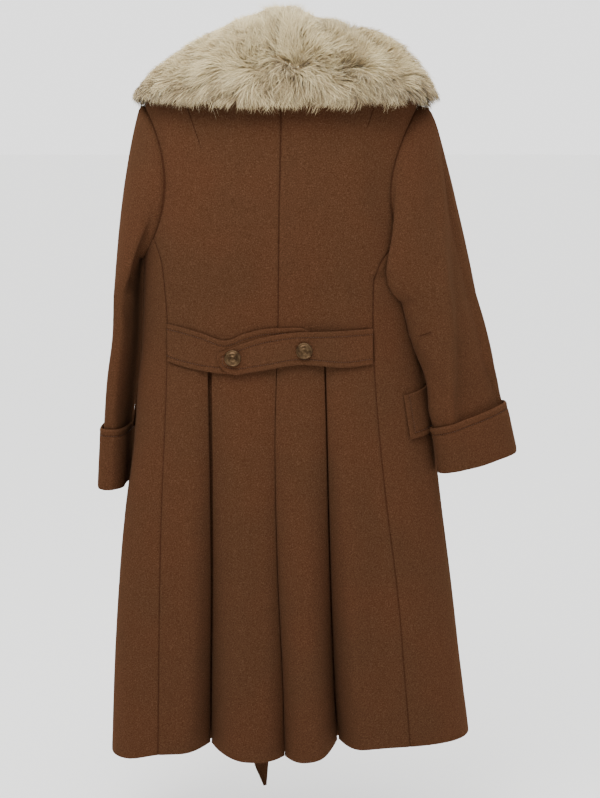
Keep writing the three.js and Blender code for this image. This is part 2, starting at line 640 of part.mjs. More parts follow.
function sleeve(side) {
  const table = SLEEVE_TABLES[side];
  const lateral = side === 'left' ? -1 : 1;
  const clear = CLOTH + 2.6;
  const start = ARM_TURNS.map((turn) => {
    const inset = CLOTH / 2 + 0.9 + 1.6 * Math.max(0, Math.cos(turn)) ** 6;
    const { offset, z } = armholeEdge(side, turn, inset);
    const angle = side === 'left' ? LEFT_SIDE - offset : RIGHT_SIDE + offset;
    const point = coat(angle, z);
    const level = coatOut(angle, Math.min(z, SHOULDER_Z - 8));
    return { point, out: unit([level[0] + lateral * 0.7, level[1], 0]) };
  });
  const hung = [0.12, 0.3, 0.5, 0.7, 0.86].map((s) =>
    start.map(({ point, out }, k) => {
      const turn = ARM_TURNS[k];
      const lifted = along(point, out, 7);
      const bulge = CAP_BULGE[side] * Math.sin(Math.PI * s ** CAP_RISE[side]) * Math.max(0, Math.cos(turn));
      const open = UNDERARM_BULGE * Math.sin(Math.PI * s) * Math.max(0, -Math.sin(turn));
      const blended = between(lifted, sleevePoint(side, table, table[0].z, turn), smooth(s) * 0.4 + s * 0.6);
      const { over, off, turn: middle, width } = BACK_FOLD[side];
      const fold = Math.sin(Math.PI * s) * Math.exp(-(((turn - middle) / width) ** 2));
      const x = lateral * (bulge + open - over * fold);
      return clearOfCoat(at(blended, x, open - off * fold, bulge * 0.3), clear);
    }),
  );
  const levels = table.flatMap((row, i) => (i === 0 ? [row.z] : [mix(table[i - 1].z, row.z, 0.5), row.z]));
  const grid = [
    start.map(({ point }) => point),
    start.map(({ point, out }) => along(point, out, 5)),
    ...hung,
    ...levels.map((z) =>
      ARM_TURNS.map((turn) => clearOfCoat(sleevePoint(side, table, z, turn), clear)),
    ),
  ];
  return clothWall(grid, { closed: true });
}

function cuff(side) {
  const { top, end } = side === 'left' ? CUFF_LEFT : CUFF_RIGHT;
  const table = SLEEVE_TABLES[side];
  const grid = steps(4).map((t) =>
    ARM_TURNS.map((turn) =>
      clearOfCoat(sleevePoint(side, table, mix(top, end, t), turn, CUFF_STAND), CUFF_CLEAR),
    ),
  );
  return clothWall(grid, { closed: true, gap: 0 });
}
for (const side of ['left', 'right']) {
  add(`sleeve_${side}`, sleeve(side), wool());
  add(`cuff_${side}`, cuff(side), wool());
}

// ---------- fur collar ----------
// One closed solid that holds the fur: it stands round the neck, rolls over and falls on the
// shoulders. turn runs from the left front end (-1) over the centre back (0) to the right (1).
const collarRead = Object.fromEntries(
  ['thick', 'fall', 'stand'].map((column) => [column, curve(COLLAR, 'turn', column)]),
);

function necklineZ(angle) {
  return mix(mix(NECK_SIDE_Z, NECK_BACK_Z, bendBack(angle)), NECK_FRONT_Z, bendFront(angle));
}

function collarSection(turn) {
  const angle = BACK - turn * (Math.PI - 0.1);
  const thick = collarRead.thick(turn);
  const fall = collarRead.fall(turn);
  const stand = collarRead.stand(turn);
  const neckZ = necklineZ(angle);
  const seam = coat(angle, neckZ);
  const inward = unit([-seam[0], -seam[1], 0]);
  const lying = (t, height) => {
    const z = mix(neckZ - 4, fall, t);
    const out = coatOut(angle, z);
    const ease = 6 * Math.exp(-(((z + 103) / 26) ** 2));
    return along(coat(angle, z, 2), out, 5.5 + ease + height);
  };
  const root = at(along(seam, inward, -3), 0, 0, 6);
  const under = [root, ...[0, 0.12, 0.25, 0.42, 0.6, 0.8, 1].map((t) => lying(t, 0))];
  const rim = under[under.length - 1];
  const hung = (out, down) => at(along(rim, inward, -out * thick), 0, 0, -down * thick);
  const edge = [hung(0.14, 0.2), hung(0.38, 0.28), hung(0.58, 0.02)];
  const face = [0.8, 0.6, 0.4, 0.2, 0].map((t) => lying(t, thick * (t > 0.7 ? RIM_SHARE : 1)));
  const crest = at(along(seam, inward, -thick * 0.45), 0, 0, stand * 0.9);
  const brink = at(along(seam, inward, -thick * 0.1), 0, 0, stand);
  const inside = [at(along(seam, inward, 6), 0, 0, stand * 0.75), at(along(seam, inward, 7), 0, 0, 6)];
  return [...under, ...edge, ...face, crest, brink, ...inside];
}

function collar() {
  const sections = steps(34).map((t) => collarSection(mix(-1, 1, t)));
  const count = sections[0].length;
  const positions = sections.flat(2);
  const index = [];
  for (let i = 0; i < sections.length - 1; i += 1) {
    for (let j = 0; j < count; j += 1) {
      const k = (j + 1) % count;
      const [a, b, c, d] = [i * count + j, i * count + k, (i + 1) * count + k, (i + 1) * count + j];
      const shorter = spread(sections[i][j], sections[i + 1][k]) <= spread(sections[i][k], sections[i + 1][j]);
      index.push(...(shorter ? [a, b, c, a, c, d] : [b, c, d, b, d, a]));
    }
  }
  // each end is closed by triangles across its own section
  for (const [i, sign] of [[0, -1], [sections.length - 1, 1]]) {
    const flat = sections[i].map(([x, y, z]) => new THREE.Vector2(Math.hypot(x, y), z));
    const winding = Math.sign(THREE.ShapeUtils.area(flat)) * sign;
    for (const face of THREE.ShapeUtils.triangulateShape(flat, [])) {
      const turned = Math.sign(THREE.ShapeUtils.area(face.map((k) => flat[k]))) === winding;
      index.push(...(turned ? face : face.reverse()).map((k) => i * count + k));
    }
  }
  return outward(positions, index);
}
add('fur_collar', collar(), fur());

// ---------- half belt with its buttons ----------
// Two straps sewn into the long back seams, the right one buttoned over the left one.
const underStrap = CLOTH / 2 + STRAP / 2 + 0.7;
const overStrap = underStrap + STRAP + 0.7;

function strap(table, offsetAt) {
  const upper = curve(table, 'x', 'upper');
  const lower = curve(table, 'x', 'lower');
  const from = table[0].x;
  const to = table[table.length - 1].x;
  const places = [0, 0.1, 0.22, 0.34, 0.46, 0.58, 0.7, 0.8, 0.88, 0.94, 0.98, 1];
  const grid = [0, 0.5, 1].map((v) =>
    places.map((t) => {
      const x = mix(from, to, t);
      const z = mix(lower(x), upper(x), v);
      return along(coatAtX(x, z), outAtX(x, z), offsetAt(x));
    }),
  );
  return clothWall(grid, { thickness: STRAP });
}
const beltLeftOffset = (x) => underStrap + 1.5 * Math.sin((Math.PI * (x + 172)) / 218);
const beltRightOffset = (x) =>
  underStrap + 1.5 + (overStrap - underStrap + 0.6) * smooth((118 - x) / 60);
add('half_belt_left', strap(BELT_LEFT, beltLeftOffset), wool());
add('half_belt_right', strap(BELT_RIGHT, beltRightOffset), wool());

// A flat round button with a rim, a ring and a small boss, on a shank.
const BUTTON_PROFILE = [
  [0, 0],
  [3.4, 0],
  [3.4, 1.2],
  [9.6, 1.2],
  [BUTTON_RADIUS, 3],
  [BUTTON_RADIUS - 0.5, 4.4],
  [BUTTON_RADIUS - 2, 4.9],
  [BUTTON_RADIUS - 3.4, 4.1],
  [7, 4.1],
  [6.2, 4.6],
  [5.2, 4.1],
  [2.6, 4.1],
  [1.9, 5],
  [0, 5.4],
];

function button({ x, z }) {
  const lathe = new THREE.LatheGeometry(BUTTON_PROFILE.map(([r, h]) => new THREE.Vector2(r, h)), 18);
  const out = outAtX(x, z);
  const facing = new THREE.Quaternion().setFromUnitVectors(new THREE.Vector3(0, 1, 0), new THREE.Vector3(...out));
  lathe.applyQuaternion(facing);
  lathe.translate(...along(coatAtX(x, z), out, beltRightOffset(x) + STRAP / 2 + 0.8));
  return lathe;
}
add('button_left', button(BELT_BUTTONS.left), buttonMetal());
add('button_right', button(BELT_BUTTONS.right), buttonMetal());

// ---------- pocket flaps ----------
// A flap lies round the side of the coat and stands off it a little at its lower edge.
const FLAP_BACK = { upper: -538, lower: -606 };
const FLAPS = {
  left: { from: LEFT_SIDE + 0.05, to: LEFT_SIDE + 1.0, back: FLAP_BACK, front: { upper: -520, lower: -590 } },
  right: { from: RIGHT_SIDE + 0.7, to: RIGHT_SIDE - 0.45, back: FLAP_BACK, front: { upper: -516, lower: -586 } },
};

function flap({ from, to, back, front }) {
  const grid = [0, 0.33, 0.66, 1].map((v) =>
    steps(8).map((t) => {
      const angle = mix(from, to, t);
      const corner = 7 * (Math.abs(2 * t - 1) ** 10) * v; // the lower corners are cut away a little
      const z = mix(mix(back.upper, front.upper, t), mix(back.lower, front.lower, t) + corner, v);
      return along(coat(angle, z), coatOut(angle, z), CLOTH + 1.1 + 1.8 * v ** 1.5);
    }),
  );
  return clothWall(grid, { gap: 0 });
}
add('pocket_flap_left', flap(FLAPS.left), wool());
add('pocket_flap_right', flap(FLAPS.right), wool());

// ---------- tie belt ----------
// Two sashes leave the side seams, cross the front at the waist and are knotted in the middle.
// The long end hangs below the hem.
const KNOT = { x: -14, z: -460, width: 30, height: 27, depth: 13 };

function sashRound(side) {
  const sign = side === 'left' ? -1 : 1;
  const from = side === 'left' ? LEFT_SIDE + 0.25 : 2 * Math.PI - 0.25;
  const grid = [0, 0.5, 1].map((v) =>
    steps(9).map((t) => {
      const edgeX = KNOT.x + sign * (KNOT.width + 1.5);
      const half = mix(SASH_WIDTH / 2, 13, smooth((t - 0.55) / 0.45));
      const z = SASH_Z + mix(-half, half, v);
      const angle = mix(from, angleAt(edgeX, z, true), t);
      return along(coat(angle, z), coatOut(angle, z), CLOTH + 1 + 5 * smooth((t - 0.7) / 0.3));
    }),
  );
  return clothWall(grid, { gap: 0 });
}
add('sash_left', sashRound('left'), wool());
add('sash_right', sashRound('right'), wool());

// A soft wrapped knot: a rounded barrel, fuller in its middle, as a lathe turned to lie across.
function knot() {
  const profile = steps(8).map((t) => {
    const a = Math.PI * t;
    return new THREE.Vector2(Math.max(0, KNOT.depth * Math.sin(a) ** 0.6), -KNOT.height * Math.cos(a));
  });
  profile[0].x = 0; // both ends of the profile lie on the axis
  profile[profile.length - 1].x = 0;
  const lathe = new THREE.LatheGeometry(profile, 14);
  lathe.rotateX(Math.PI / 2);
  lathe.scale(KNOT.width / KNOT.depth - 0.2, 1, 1);
  const front = coatAtX(KNOT.x, KNOT.z, true);
  lathe.translate(KNOT.x, front[1] + KNOT.depth + 4, KNOT.z);
  return lathe;
}
add('sash_knot', knot(), wool());

// The hanging ends. x and y follow the front of the skirt, turn is how far the strip has twisted.
const SASH_ENDS = {
  long: [
    { z: -489, x: -22, off: 9, half: 15, turn: 0 },
    { z: -540, x: -24, off: 9, half: 22, turn: 6 },
    { z: -640, x: -27, off: 8, half: 24, turn: 10 },
    { z: -800, x: -31, off: 8, half: 24, turn: 14 },
    { z: -980, x: -35, off: 9, half: 24, turn: 22 },
    { z: -1110, x: -38, off: 8, half: 21, turn: 24 },
    { z: -1196, x: -39, off: 8, half: 16, turn: 28 },
    { z: -1250, x: -32, off: 8, half: 3, turn: 28 },
  ],
  short: [
    { z: -489, x: 8, off: 13, half: 15, turn: 0 },
    { z: -540, x: 22, off: 11, half: 22, turn: -4 },
    { z: -700, x: 30, off: 10, half: 24, turn: -8 },
    { z: -860, x: 34, off: 9, half: 24, turn: -10 },
    { z: -930, x: 36, off: 10, half: 12, turn: -12 },
    { z: -938, x: 36, off: 10, half: 5, turn: -12 },
  ],
};

function sashEnd(table) {
  const columns = ['x', 'off', 'half', 'turn'].map((column) => [column, curve(table, 'z', column)]);
  const read = Object.fromEntries(columns);
  const [first, last] = [table[0].z, table[table.length - 1].z];
  const grid = steps(13).map((t) => {
    const z = mix(first, last, t);
    const turn = THREE.MathUtils.degToRad(read.turn(z));
    const front = coatAtX(read.x(z), Math.max(z, HEM_Z), true);
    const middle = [read.x(z), front[1] + read.off(z) + read.half(z) * Math.sin(Math.abs(turn)), z];
    return [-1, 0, 1].map((side) =>
      at(middle, side * read.half(z) * Math.cos(turn), side * read.half(z) * Math.sin(turn), 0),
    );
  });
  return clothWall(grid, { gap: 0 });
}
add('sash_end_long', sashEnd(SASH_ENDS.long), wool());
add('sash_end_short', sashEnd(SASH_ENDS.short), wool());

export default coatGroup;
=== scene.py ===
# %% [markdown]
# # A princess coat in brown wool with a fur collar
# The coat is hollow and filled out, as it is when worn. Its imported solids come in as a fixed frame.
# Each piece of cloth is then made again as a finer shell on the same form, from the same sizes:
# a wall of cloth is a surface of two parameters, and numpy works out all its points at once.

import bpy
import numpy as np
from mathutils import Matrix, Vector


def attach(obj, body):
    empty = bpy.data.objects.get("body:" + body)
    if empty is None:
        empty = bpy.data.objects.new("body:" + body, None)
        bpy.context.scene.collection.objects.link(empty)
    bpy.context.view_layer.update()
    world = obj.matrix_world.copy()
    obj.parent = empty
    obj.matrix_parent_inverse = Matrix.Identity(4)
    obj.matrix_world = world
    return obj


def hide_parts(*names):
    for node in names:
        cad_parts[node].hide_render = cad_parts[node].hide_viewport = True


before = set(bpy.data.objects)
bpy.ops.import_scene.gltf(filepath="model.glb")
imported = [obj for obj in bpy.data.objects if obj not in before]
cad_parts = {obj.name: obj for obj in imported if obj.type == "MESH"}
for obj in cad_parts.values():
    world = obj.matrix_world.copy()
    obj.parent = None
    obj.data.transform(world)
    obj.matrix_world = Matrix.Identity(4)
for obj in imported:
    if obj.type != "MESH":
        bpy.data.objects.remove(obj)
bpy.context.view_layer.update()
print("nodes in the frame:", len(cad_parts))

# %% [markdown]
# ## Sizes
# All sizes are in millimetres, and become metres when a mesh is made. +Z is up, the back of the coat
# is towards -Y, and the origin is on the coat's upright axis at the level of the back neck seam.

# %% Sizes of the cut
MM = 0.001
CLOTH = 2.6  # thickness of the wool
SEAM_GAP = 0.06
HEM_Z = -1105.0
WAIST_Z = -458.0
SHOULDER_Z = -101.0
ARMPIT_Z = -335.0
NECK_SIDE_Z, NECK_BACK_Z, NECK_FRONT_Z = -20.0, -6.0, -95.0
STEP = 6.0  # usual distance between two points of the cloth
PI = np.pi
SIDES = ("left", "right")


def columns(names, rows):
    """A short table as a dictionary that holds one array for each named column."""
    return dict(zip(names.split(), np.array(rows, float).T))


# rings of the coat: half widths to the left and right, depths to the back and front, and the power
RINGS = columns(
    "z left right back front power",
    [
        (20, 66, 66, 52, 58, 2.1),
        (0, 69, 69, 57, 63, 2.1),
        (-20, 77, 77, 64, 69, 2.15),
        (-60, 140, 140, 80, 84, 2.2),
        (-101, 205, 205, 92, 96, 2.3),
        (-106, 207, 206, 93, 97, 2.3),
        (-150, 208, 207, 99, 106, 2.35),
        (-218, 209, 207, 103, 117, 2.4),
        (-300, 210, 207, 101, 119, 2.45),
        (-335, 211, 207, 98, 113, 2.5),
        (-400, 213, 210, 89, 97, 2.55),
        (-458, 215, 214, 85, 90, 2.6),
        (-522, 222, 222, 91, 96, 2.7),
        (-616, 231, 236, 99, 103, 2.85),
        (-741, 248, 252, 106, 109, 3.0),
        (-850, 259, 267, 110, 113, 3.1),
        (-993, 268, 285, 115, 118, 3.25),
        (-1160, 276, 304, 120, 123, 3.35),
    ],
)
BACK_SEAMS = columns(
    "z left right",
    [
        (-301, -191, 180),
        (-314, -187, 165),
        (-328, -182, 153),
        (-342, -179, 145),
        (-375, -176, 138),
        (-428, -173, 138),
        (-489, -174, 140),
        (-573, -177, 146),
        (-697, -183, 159),
        (-855, -188, 179),
        (-1160, -194, 203),
    ],
)
FRONT_SEAMS = columns(
    "z left right",
    [
        (-301, -186, 184),
        (-335, -166, 164),
        (-375, -148, 146),
        (-458, -126, 126),
        (-573, -140, 142),
        (-741, -162, 166),
        (-1160, -192, 206),
    ],
)
CENTRE_LINE = columns(
    "z x",
    [(-6, 0), (-110, 0), (-270, -3), (-426, -5), (-458, -6)]
    + [(-619, -10), (-789, -7), (-1014, 2), (-1160, 5)],
)
PLEAT_LINES = columns(
    "z left right",
    [(-458, -109, 65), (-619, -109, 70), (-789, -110, 75), (-1014, -115, 84), (-1160, -118, 94)],
)
BACK_HEM = columns(
    "x rise",
    [(-276, -12), (-245, -9), (-190, 6), (-128, 11), (-50, -2)]
    + [(30, -3), (60, 1), (92, 14), (184, 20), (304, 20)],
)
print("rings:", len(RINGS["z"]), "from", RINGS["z"][0], "down to", RINGS["z"][-1], "mm")

# %% [markdown]
# ## One smooth surface for the whole body
# A tailor shapes a coat from flat panels. Here the seams lie on one smooth surface, so neighbours
# always meet. The surface is a stack of superellipses, whose sizes follow smooth curves up the body.

# %% The coat's surface
def curve(table, by, column):
    """Smooth curve through a table's column. Between two rows it is the cubic with the harmonic mean
    of the neighbouring slopes as its end slopes, so it never swings past a row."""
    order = np.argsort(table[by])
    x, y = table[by][order], table[column][order]
    slope = np.diff(y) / np.diff(x)
    product = slope[:-1] * slope[1:]
    inner = np.where(product > 0, 2 * product / np.where(product > 0, slope[:-1] + slope[1:], 1), 0)
    tangent = np.concatenate([slope[:1], inner, slope[-1:]])

    def read(value):
        """Height of the curve at a value."""
        v = np.clip(value, x[0], x[-1])
        i = np.clip(np.searchsorted(x, v) - 1, 0, len(x) - 2)
        width = x[i + 1] - x[i]
        t = (v - x[i]) / width
        return (
            (2 * t**3 - 3 * t**2 + 1) * y[i]
            + (t**3 - 2 * t**2 + t) * width * tangent[i]
            + (3 * t**2 - 2 * t**3) * y[i + 1]
            + (t**3 - t**2) * width * tangent[i + 1]
        )

    return read


ring = {name: curve(RINGS, "z", name) for name in ("left", "right", "back", "front", "power")}
back_seam = {side: curve(BACK_SEAMS, "z", side) for side in SIDES}
front_seam = {side: curve(FRONT_SEAMS, "z", side) for side in SIDES}
pleat_line = {side: curve(PLEAT_LINES, "z", side) for side in SIDES}
centre_line = curve(CENTRE_LINE, "z", "x")
back_hem = curve(BACK_HEM, "x", "rise")


def unit(v):
    """Vectors divided by their own length."""
    return v / np.maximum(np.linalg.norm(v, axis=-1, keepdims=True), 1e-9)


def smooth(t):
    """3 t^2 - 2 t^3 between 0 and 1, flat outside."""
    t = np.clip(t, 0, 1)
    return t * t * (3 - 2 * t)


def mix(a, b, t):
    """a at t = 0, b at t = 1, and on the straight line between them elsewhere."""
    return a + (b - a) * t


def coat(angle, z, spread=0.0):
    """Point of the surface. x = width * cos^(2/p), y = -depth * sin^(2/p), where p is the power of the
    ring at z. Angle 0 is the right side and a quarter turn is the middle of the back."""
    angle, z = np.broadcast_arrays(np.asarray(angle, float), np.asarray(z, float))
    c, s = np.cos(angle), np.sin(angle)
    power = 2 / ring["power"](z)
    width = np.where(c > 0, ring["right"](z), ring["left"](z)) + spread
    depth = np.where(s > 0, ring["back"](z), ring["front"](z)) + spread
    x = np.sign(c) * width * np.abs(c) ** power
    y = -np.sign(s) * depth * np.abs(s) ** power
    return np.stack([x, y, z], -1)


def coat_out(angle, z):
    """Outward direction: the cross product of a short step up and a short step round."""
    around = coat(angle + 0.01, z) - coat(angle - 0.01, z)
    upward = coat(angle, z + 2) - coat(angle, z - 2)
    return unit(np.cross(upward, around))


def angle_at(x, z, front=False):
    """Angle at which the surface has this x: the inverse of x = width * cos^(2/p)."""
    width = np.where(x > 0, ring["right"](z), ring["left"](z))
    c = np.sign(x) * np.minimum(1, np.abs(x) / width) ** (ring["power"](z) / 2)
    return 2 * PI - np.arccos(c) if front else np.arccos(c)


half_sizes = [np.mean([ring[a](WAIST_Z), ring[b](WAIST_Z)]) for a, b in (SIDES, ("back", "front"))]
print("waist girth about", round(2 * PI * np.sqrt(np.mean(np.square(half_sizes)))), "mm")

# %% [markdown]
# ## Cloth walls
# Cloth has a thickness, and a cut edge shows it. So a grid of points is the middle of the cloth,
# and the wall is built to both sides of it, with a rim round the open edges. Near a seam the cloth
# turns in a little, which draws the fine dark line that a pressed seam has.

# %% Grids and walls
def spaced(length, step=STEP):
    """Fractions from 0 to 1, a step apart on a cloth of this length and closer near both edges."""
    inner = np.linspace(0, 1, max(3, int(round(length / step)) + 1))
    near = np.array([0.9, 2.4, 4.4]) / length
    inner = inner[(inner > near[-1] * 1.2) & (inner < 1 - near[-1] * 1.2)]
    return np.concatenate([[0], near, inner, 1 - near[::-1], [1]])


def grid_out(grid, closed=False):
    """Direction across the cloth at each point: the cross product of its steps along and up."""
    if closed:
        following, before = np.roll(grid, -1, 1), np.roll(grid, 1, 1)
    else:
        following = np.concatenate([grid[:, 1:], grid[:, -1:]], 1)
        before = np.concatenate([grid[:, :1], grid[:, :-1]], 1)
    across = unit(following - grid) - unit(before - grid)
    up = np.concatenate([grid[1:], grid[-1:]]) - np.concatenate([grid[:1], grid[:-1]])
    return unit(np.cross(across, up))


def tube_out(grid):
    """Direction out of a tube whose rows are its rings."""
    normal = grid_out(grid, closed=True)
    return normal * np.sign(np.sum(normal * (grid - grid.mean(1, keepdims=True))))


def edge_distance(grid):
    """Distances in mm of each point from the first and last column and the first and last row."""
    along = np.linalg.norm(np.diff(grid, axis=1), axis=-1)
    up = np.linalg.norm(np.diff(grid, axis=0), axis=-1)
    left = np.concatenate([np.zeros((len(grid), 1)), np.cumsum(along, 1)], 1)
    low = np.concatenate([np.zeros((1, grid.shape[1])), np.cumsum(up, 0)], 0)
    return {"left": left, "right": left[:, -1:] - left, "low": low, "high": low[-1:] - low}


def draw_in(grid, distance, closed=False):
    """The grid with its open edges moved in by this distance, which leaves the gap at a seam."""
    pulled = grid.copy()
    pulled[0] += unit(grid[1] - grid[0]) * distance
    pulled[-1] += unit(grid[-2] - grid[-1]) * distance
    if not closed:
        pulled[:, 0] += unit(grid[:, 1] - grid[:, 0]) * distance
        pulled[:, -1] += unit(grid[:, -2] - grid[:, -1]) * distance
    return pulled


def wall(grid, out, half, closed=False):
    """Wall with faces at grid + half * out and grid - half * out, and rims. Returns its vertices,
    its quads, and the cloth's own coordinates in metres for each corner."""
    rows, cols = grid.shape[:2]
    thick = np.broadcast_to(half, (rows, cols))[..., None] * out
    verts = np.concatenate([(grid + thick).reshape(-1, 3), (grid - thick).reshape(-1, 3)])
    wide = cols + int(closed)
    slots = np.arange(rows * wide).reshape(rows, wide)
    column = np.arange(wide) % cols
    vertex = (np.arange(rows)[:, None] * cols + column[None]).ravel()
    vertex = np.concatenate([vertex, vertex + rows * cols])
    far = rows * wide
    quads = np.stack([slots[:-1, :-1], slots[:-1, 1:], slots[1:, 1:], slots[1:, :-1]], -1).reshape(-1, 4)
    edges = [(slots[0, 1:], slots[0, :-1]), (slots[-1, :-1], slots[-1, 1:])]
    if not closed:
        edges += [(slots[:-1, 0], slots[1:, 0]), (slots[1:, -1], slots[:-1, -1])]
    rims = [np.stack([a, b, b + far, a + far], -1) for a, b in edges]
    faces = np.concatenate([quads, quads[:, ::-1] + far, *rims])
    first = verts[vertex[quads]]
    facing = np.cross(first[:, 1] - first[:, 0], first[:, 3] - first[:, 0])
    outward = out.reshape(-1, 3)[vertex[quads[:, 0]]]
    if np.sum(facing * outward) < 0:
        faces = faces[:, ::-1]
    open_grid = grid[:, column]
    distance = edge_distance(open_grid)
    uv = np.stack([distance["left"], distance["low"]], -1).reshape(-1, 2) * MM
    uv = np.concatenate([uv, uv])
    return verts, vertex[faces], uv[faces]


print("a 250 mm wide panel has", len(spaced(250)), "columns")

# %% [markdown]
# ## From arrays to pieces
# Each array of points becomes a mesh in one call. The piece then rides on the coat's only body and
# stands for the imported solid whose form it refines.

# %% Making a piece
triangles = {}


def piece(name, verts, faces, material, node, uv=None, tone=None, sharp=None):
    """Mesh from arrays in mm: every face has as many corners as faces has columns."""
    mesh = bpy.data.meshes.new(name)
    mesh.vertices.add(len(verts))
    mesh.vertices.foreach_set("co", (verts * MM).astype(np.float32).ravel())
    mesh.loops.add(faces.size)
    mesh.loops.foreach_set("vertex_index", faces.astype(np.int32).ravel())
    mesh.polygons.add(len(faces))
    mesh.polygons.foreach_set("loop_start", np.arange(0, faces.size, faces.shape[1], dtype=np.int32))
    if uv is not None:
        mesh.uv_layers.new(name="cloth").data.foreach_set("uv", uv.astype(np.float32).ravel())
    if tone is not None:
        mesh.attributes.new("tone", "FLOAT", "POINT").data.foreach_set("value", tone.astype(np.float32))
    mesh.update(calc_edges=True)
    mesh.shade_smooth()
    if sharp is not None:
        mesh.set_sharp_from_angle(angle=np.radians(sharp))
    mesh.materials.append(material)
    obj = bpy.data.objects.new(name, mesh)
    bpy.context.scene.collection.objects.link(obj)
    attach(obj, "root")
    if node:
        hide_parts(node)
    triangles[name] = len(faces) * (faces.shape[1] - 2)
    return obj


# %% [markdown]
# ## Wool
# Melton is felted until its weave hardly shows. Seen close it is a mass of short fibres in slightly
# different browns, soft and without a highlight. So the colour is a fine speckle over slow, faint
# patches of redder and greener brown, the nap is a small bump, and sheen lights the fibres that
# stand off the cloth where it turns away. Along seams and rows of stitches the colour is darkened:
# this is painted shade of their grooves. A value on each point, tone, says how much.

# %% Wool material
def node(tree, kind, **inputs):
    """A shader node with values on its sockets. A name with two underscores stands for a space."""
    made = tree.nodes.new(kind)
    for key, value in inputs.items():
        if hasattr(made, key):
            setattr(made, key, value)
        else:
            made.inputs[key.replace("__", " ")].default_value = value
    return made


def fresh(name):
    """A new material with its node tree emptied but for the Principled shader and the output."""
    material = bpy.data.materials.new(name)
    material.use_nodes = True
    return material, material.node_tree, material.node_tree.nodes["Principled BSDF"]


def ramp(tree, stops):
    """A colour ramp with stops of (place, colour)."""
    made = tree.nodes.new("ShaderNodeValToRGB")
    elements = made.color_ramp.elements
    for k, (place, colour) in enumerate(stops):
        element = elements[k] if k < 2 else elements.new(place)
        element.position = place
        element.color = (*colour, 1)
    return made


def wool_material(name, brightness=1.0):
    """Brown felted wool: speckle, slow patches, nap as bump, sheen, and painted shade by the tone value.
    """
    material, tree, shader = fresh(name)
    link = tree.links.new
    cloth = node(tree, "ShaderNodeTexCoord")
    speckle = node(tree, "ShaderNodeTexNoise", Scale=560.0, Detail=4.0, Roughness=0.75)
    fibres = node(tree, "ShaderNodeMapping")
    fibres.inputs["Scale"].default_value = (1.0, 0.45, 1.0)
    nap = node(tree, "ShaderNodeTexNoise", Scale=1300.0, Detail=2.0, Roughness=0.6)
    patches = node(tree, "ShaderNodeTexNoise", Scale=9.0, Detail=2.0, Roughness=0.5)
    b = brightness
    grains = ramp(
        tree,
        [
            (0.34, (0.037 * b, 0.0152 * b, 0.0073 * b)),
            (0.46, (0.055 * b, 0.0238 * b, 0.0116 * b)),
            (0.56, (0.066 * b, 0.0292 * b, 0.0146 * b)),
            (0.70, (0.104 * b, 0.0530 * b, 0.0295 * b)),
        ],
    )
    tint = ramp(tree, [(0.36, (1.03, 0.99, 0.98)), (0.64, (0.96, 0.99, 0.99))])
    blend = node(tree, "ShaderNodeMix", data_type="RGBA", blend_type="MULTIPLY")
    blend.inputs["Factor"].default_value = 1.0
    bump = node(tree, "ShaderNodeBump", Strength=0.32, Distance=0.0007)
    link(cloth.outputs["Object"], speckle.inputs["Vector"])
    link(cloth.outputs["Object"], patches.inputs["Vector"])
    link(cloth.outputs["UV"], fibres.inputs["Vector"])
    link(fibres.outputs["Vector"], nap.inputs["Vector"])
    link(speckle.outputs["Fac"], grains.inputs["Fac"])
    link(patches.outputs["Fac"], tint.inputs["Fac"])
    link(grains.outputs["Color"], blend.inputs["A"])
    link(tint.outputs["Color"], blend.inputs["B"])
    # Painted shade: the tone value multiplies the colour by a dark brown along seams and stitch lines.
    seam = node(tree, "ShaderNodeAttribute", attribute_name="tone")
    painted_seam_shade = node(tree, "ShaderNodeMix", data_type="RGBA", blend_type="MULTIPLY")
    painted_seam_shade.inputs["B"].default_value = (0.42, 0.36, 0.34, 1)
    link(seam.outputs["Fac"], painted_seam_shade.inputs["Factor"])
    link(blend.outputs["Result"], painted_seam_shade.inputs["A"])
    link(painted_seam_shade.outputs["Result"], shader.inputs["Base Color"])
    link(nap.outputs["Fac"], bump.inputs["Height"])
    link(bump.outputs["Normal"], shader.inputs["Normal"])
    shader.inputs["Roughness"].default_value = 0.93
    shader.inputs["Specular IOR Level"].default_value = 0.0
    shader.inputs["Sheen Weight"].default_value = 0.06
    shader.inputs["Sheen Roughness"].default_value = 0.6
    shader.inputs["Sheen Tint"].default_value = (0.5, 0.3, 0.18, 1)
    return material


wool = wool_material("brown_wool")
# A copy of the wool at 55% brightness, for the darts: painted shade of their grooves.
wool_painted_shade = wool_material("brown_wool_painted_shade", 0.55)
print("wool nodes:", len(wool.node_tree.nodes))

# %% [markdown]
# ## Soft creases
# Cloth that hangs from the shoulders drags into a few long soft folds. Each crease is a line from one
# point to another, with a width and a depth: positive is a ridge, negative a trough. It fades
# towards both ends, so no fold stops in a hard line.

# %% Creases
def creased(u, v, table):
    """Sum over the creases of depth * exp(-(d / width)^2) * fade, where d is the distance from the
    crease's line and fade is sin(pi t)^0.7 along it. u and v are in mm."""
    total = np.zeros(np.broadcast(u, v).shape)
    for u0, v0, u1, v1, width, depth in zip(*(table[k] for k in "u0 v0 u1 v1 width depth".split())):
        run = np.hypot(u1 - u0, v1 - v0)
        du, dv = (u1 - u0) / run, (v1 - v0) / run
        t = np.clip(((u - u0) * du + (v - v0) * dv) / run, 0, 1)
        d = (u - u0) * dv - (v - v0) * du
        total += depth * np.exp(-((d / width) ** 2)) * np.sin(PI * t) ** 0.7
    return total


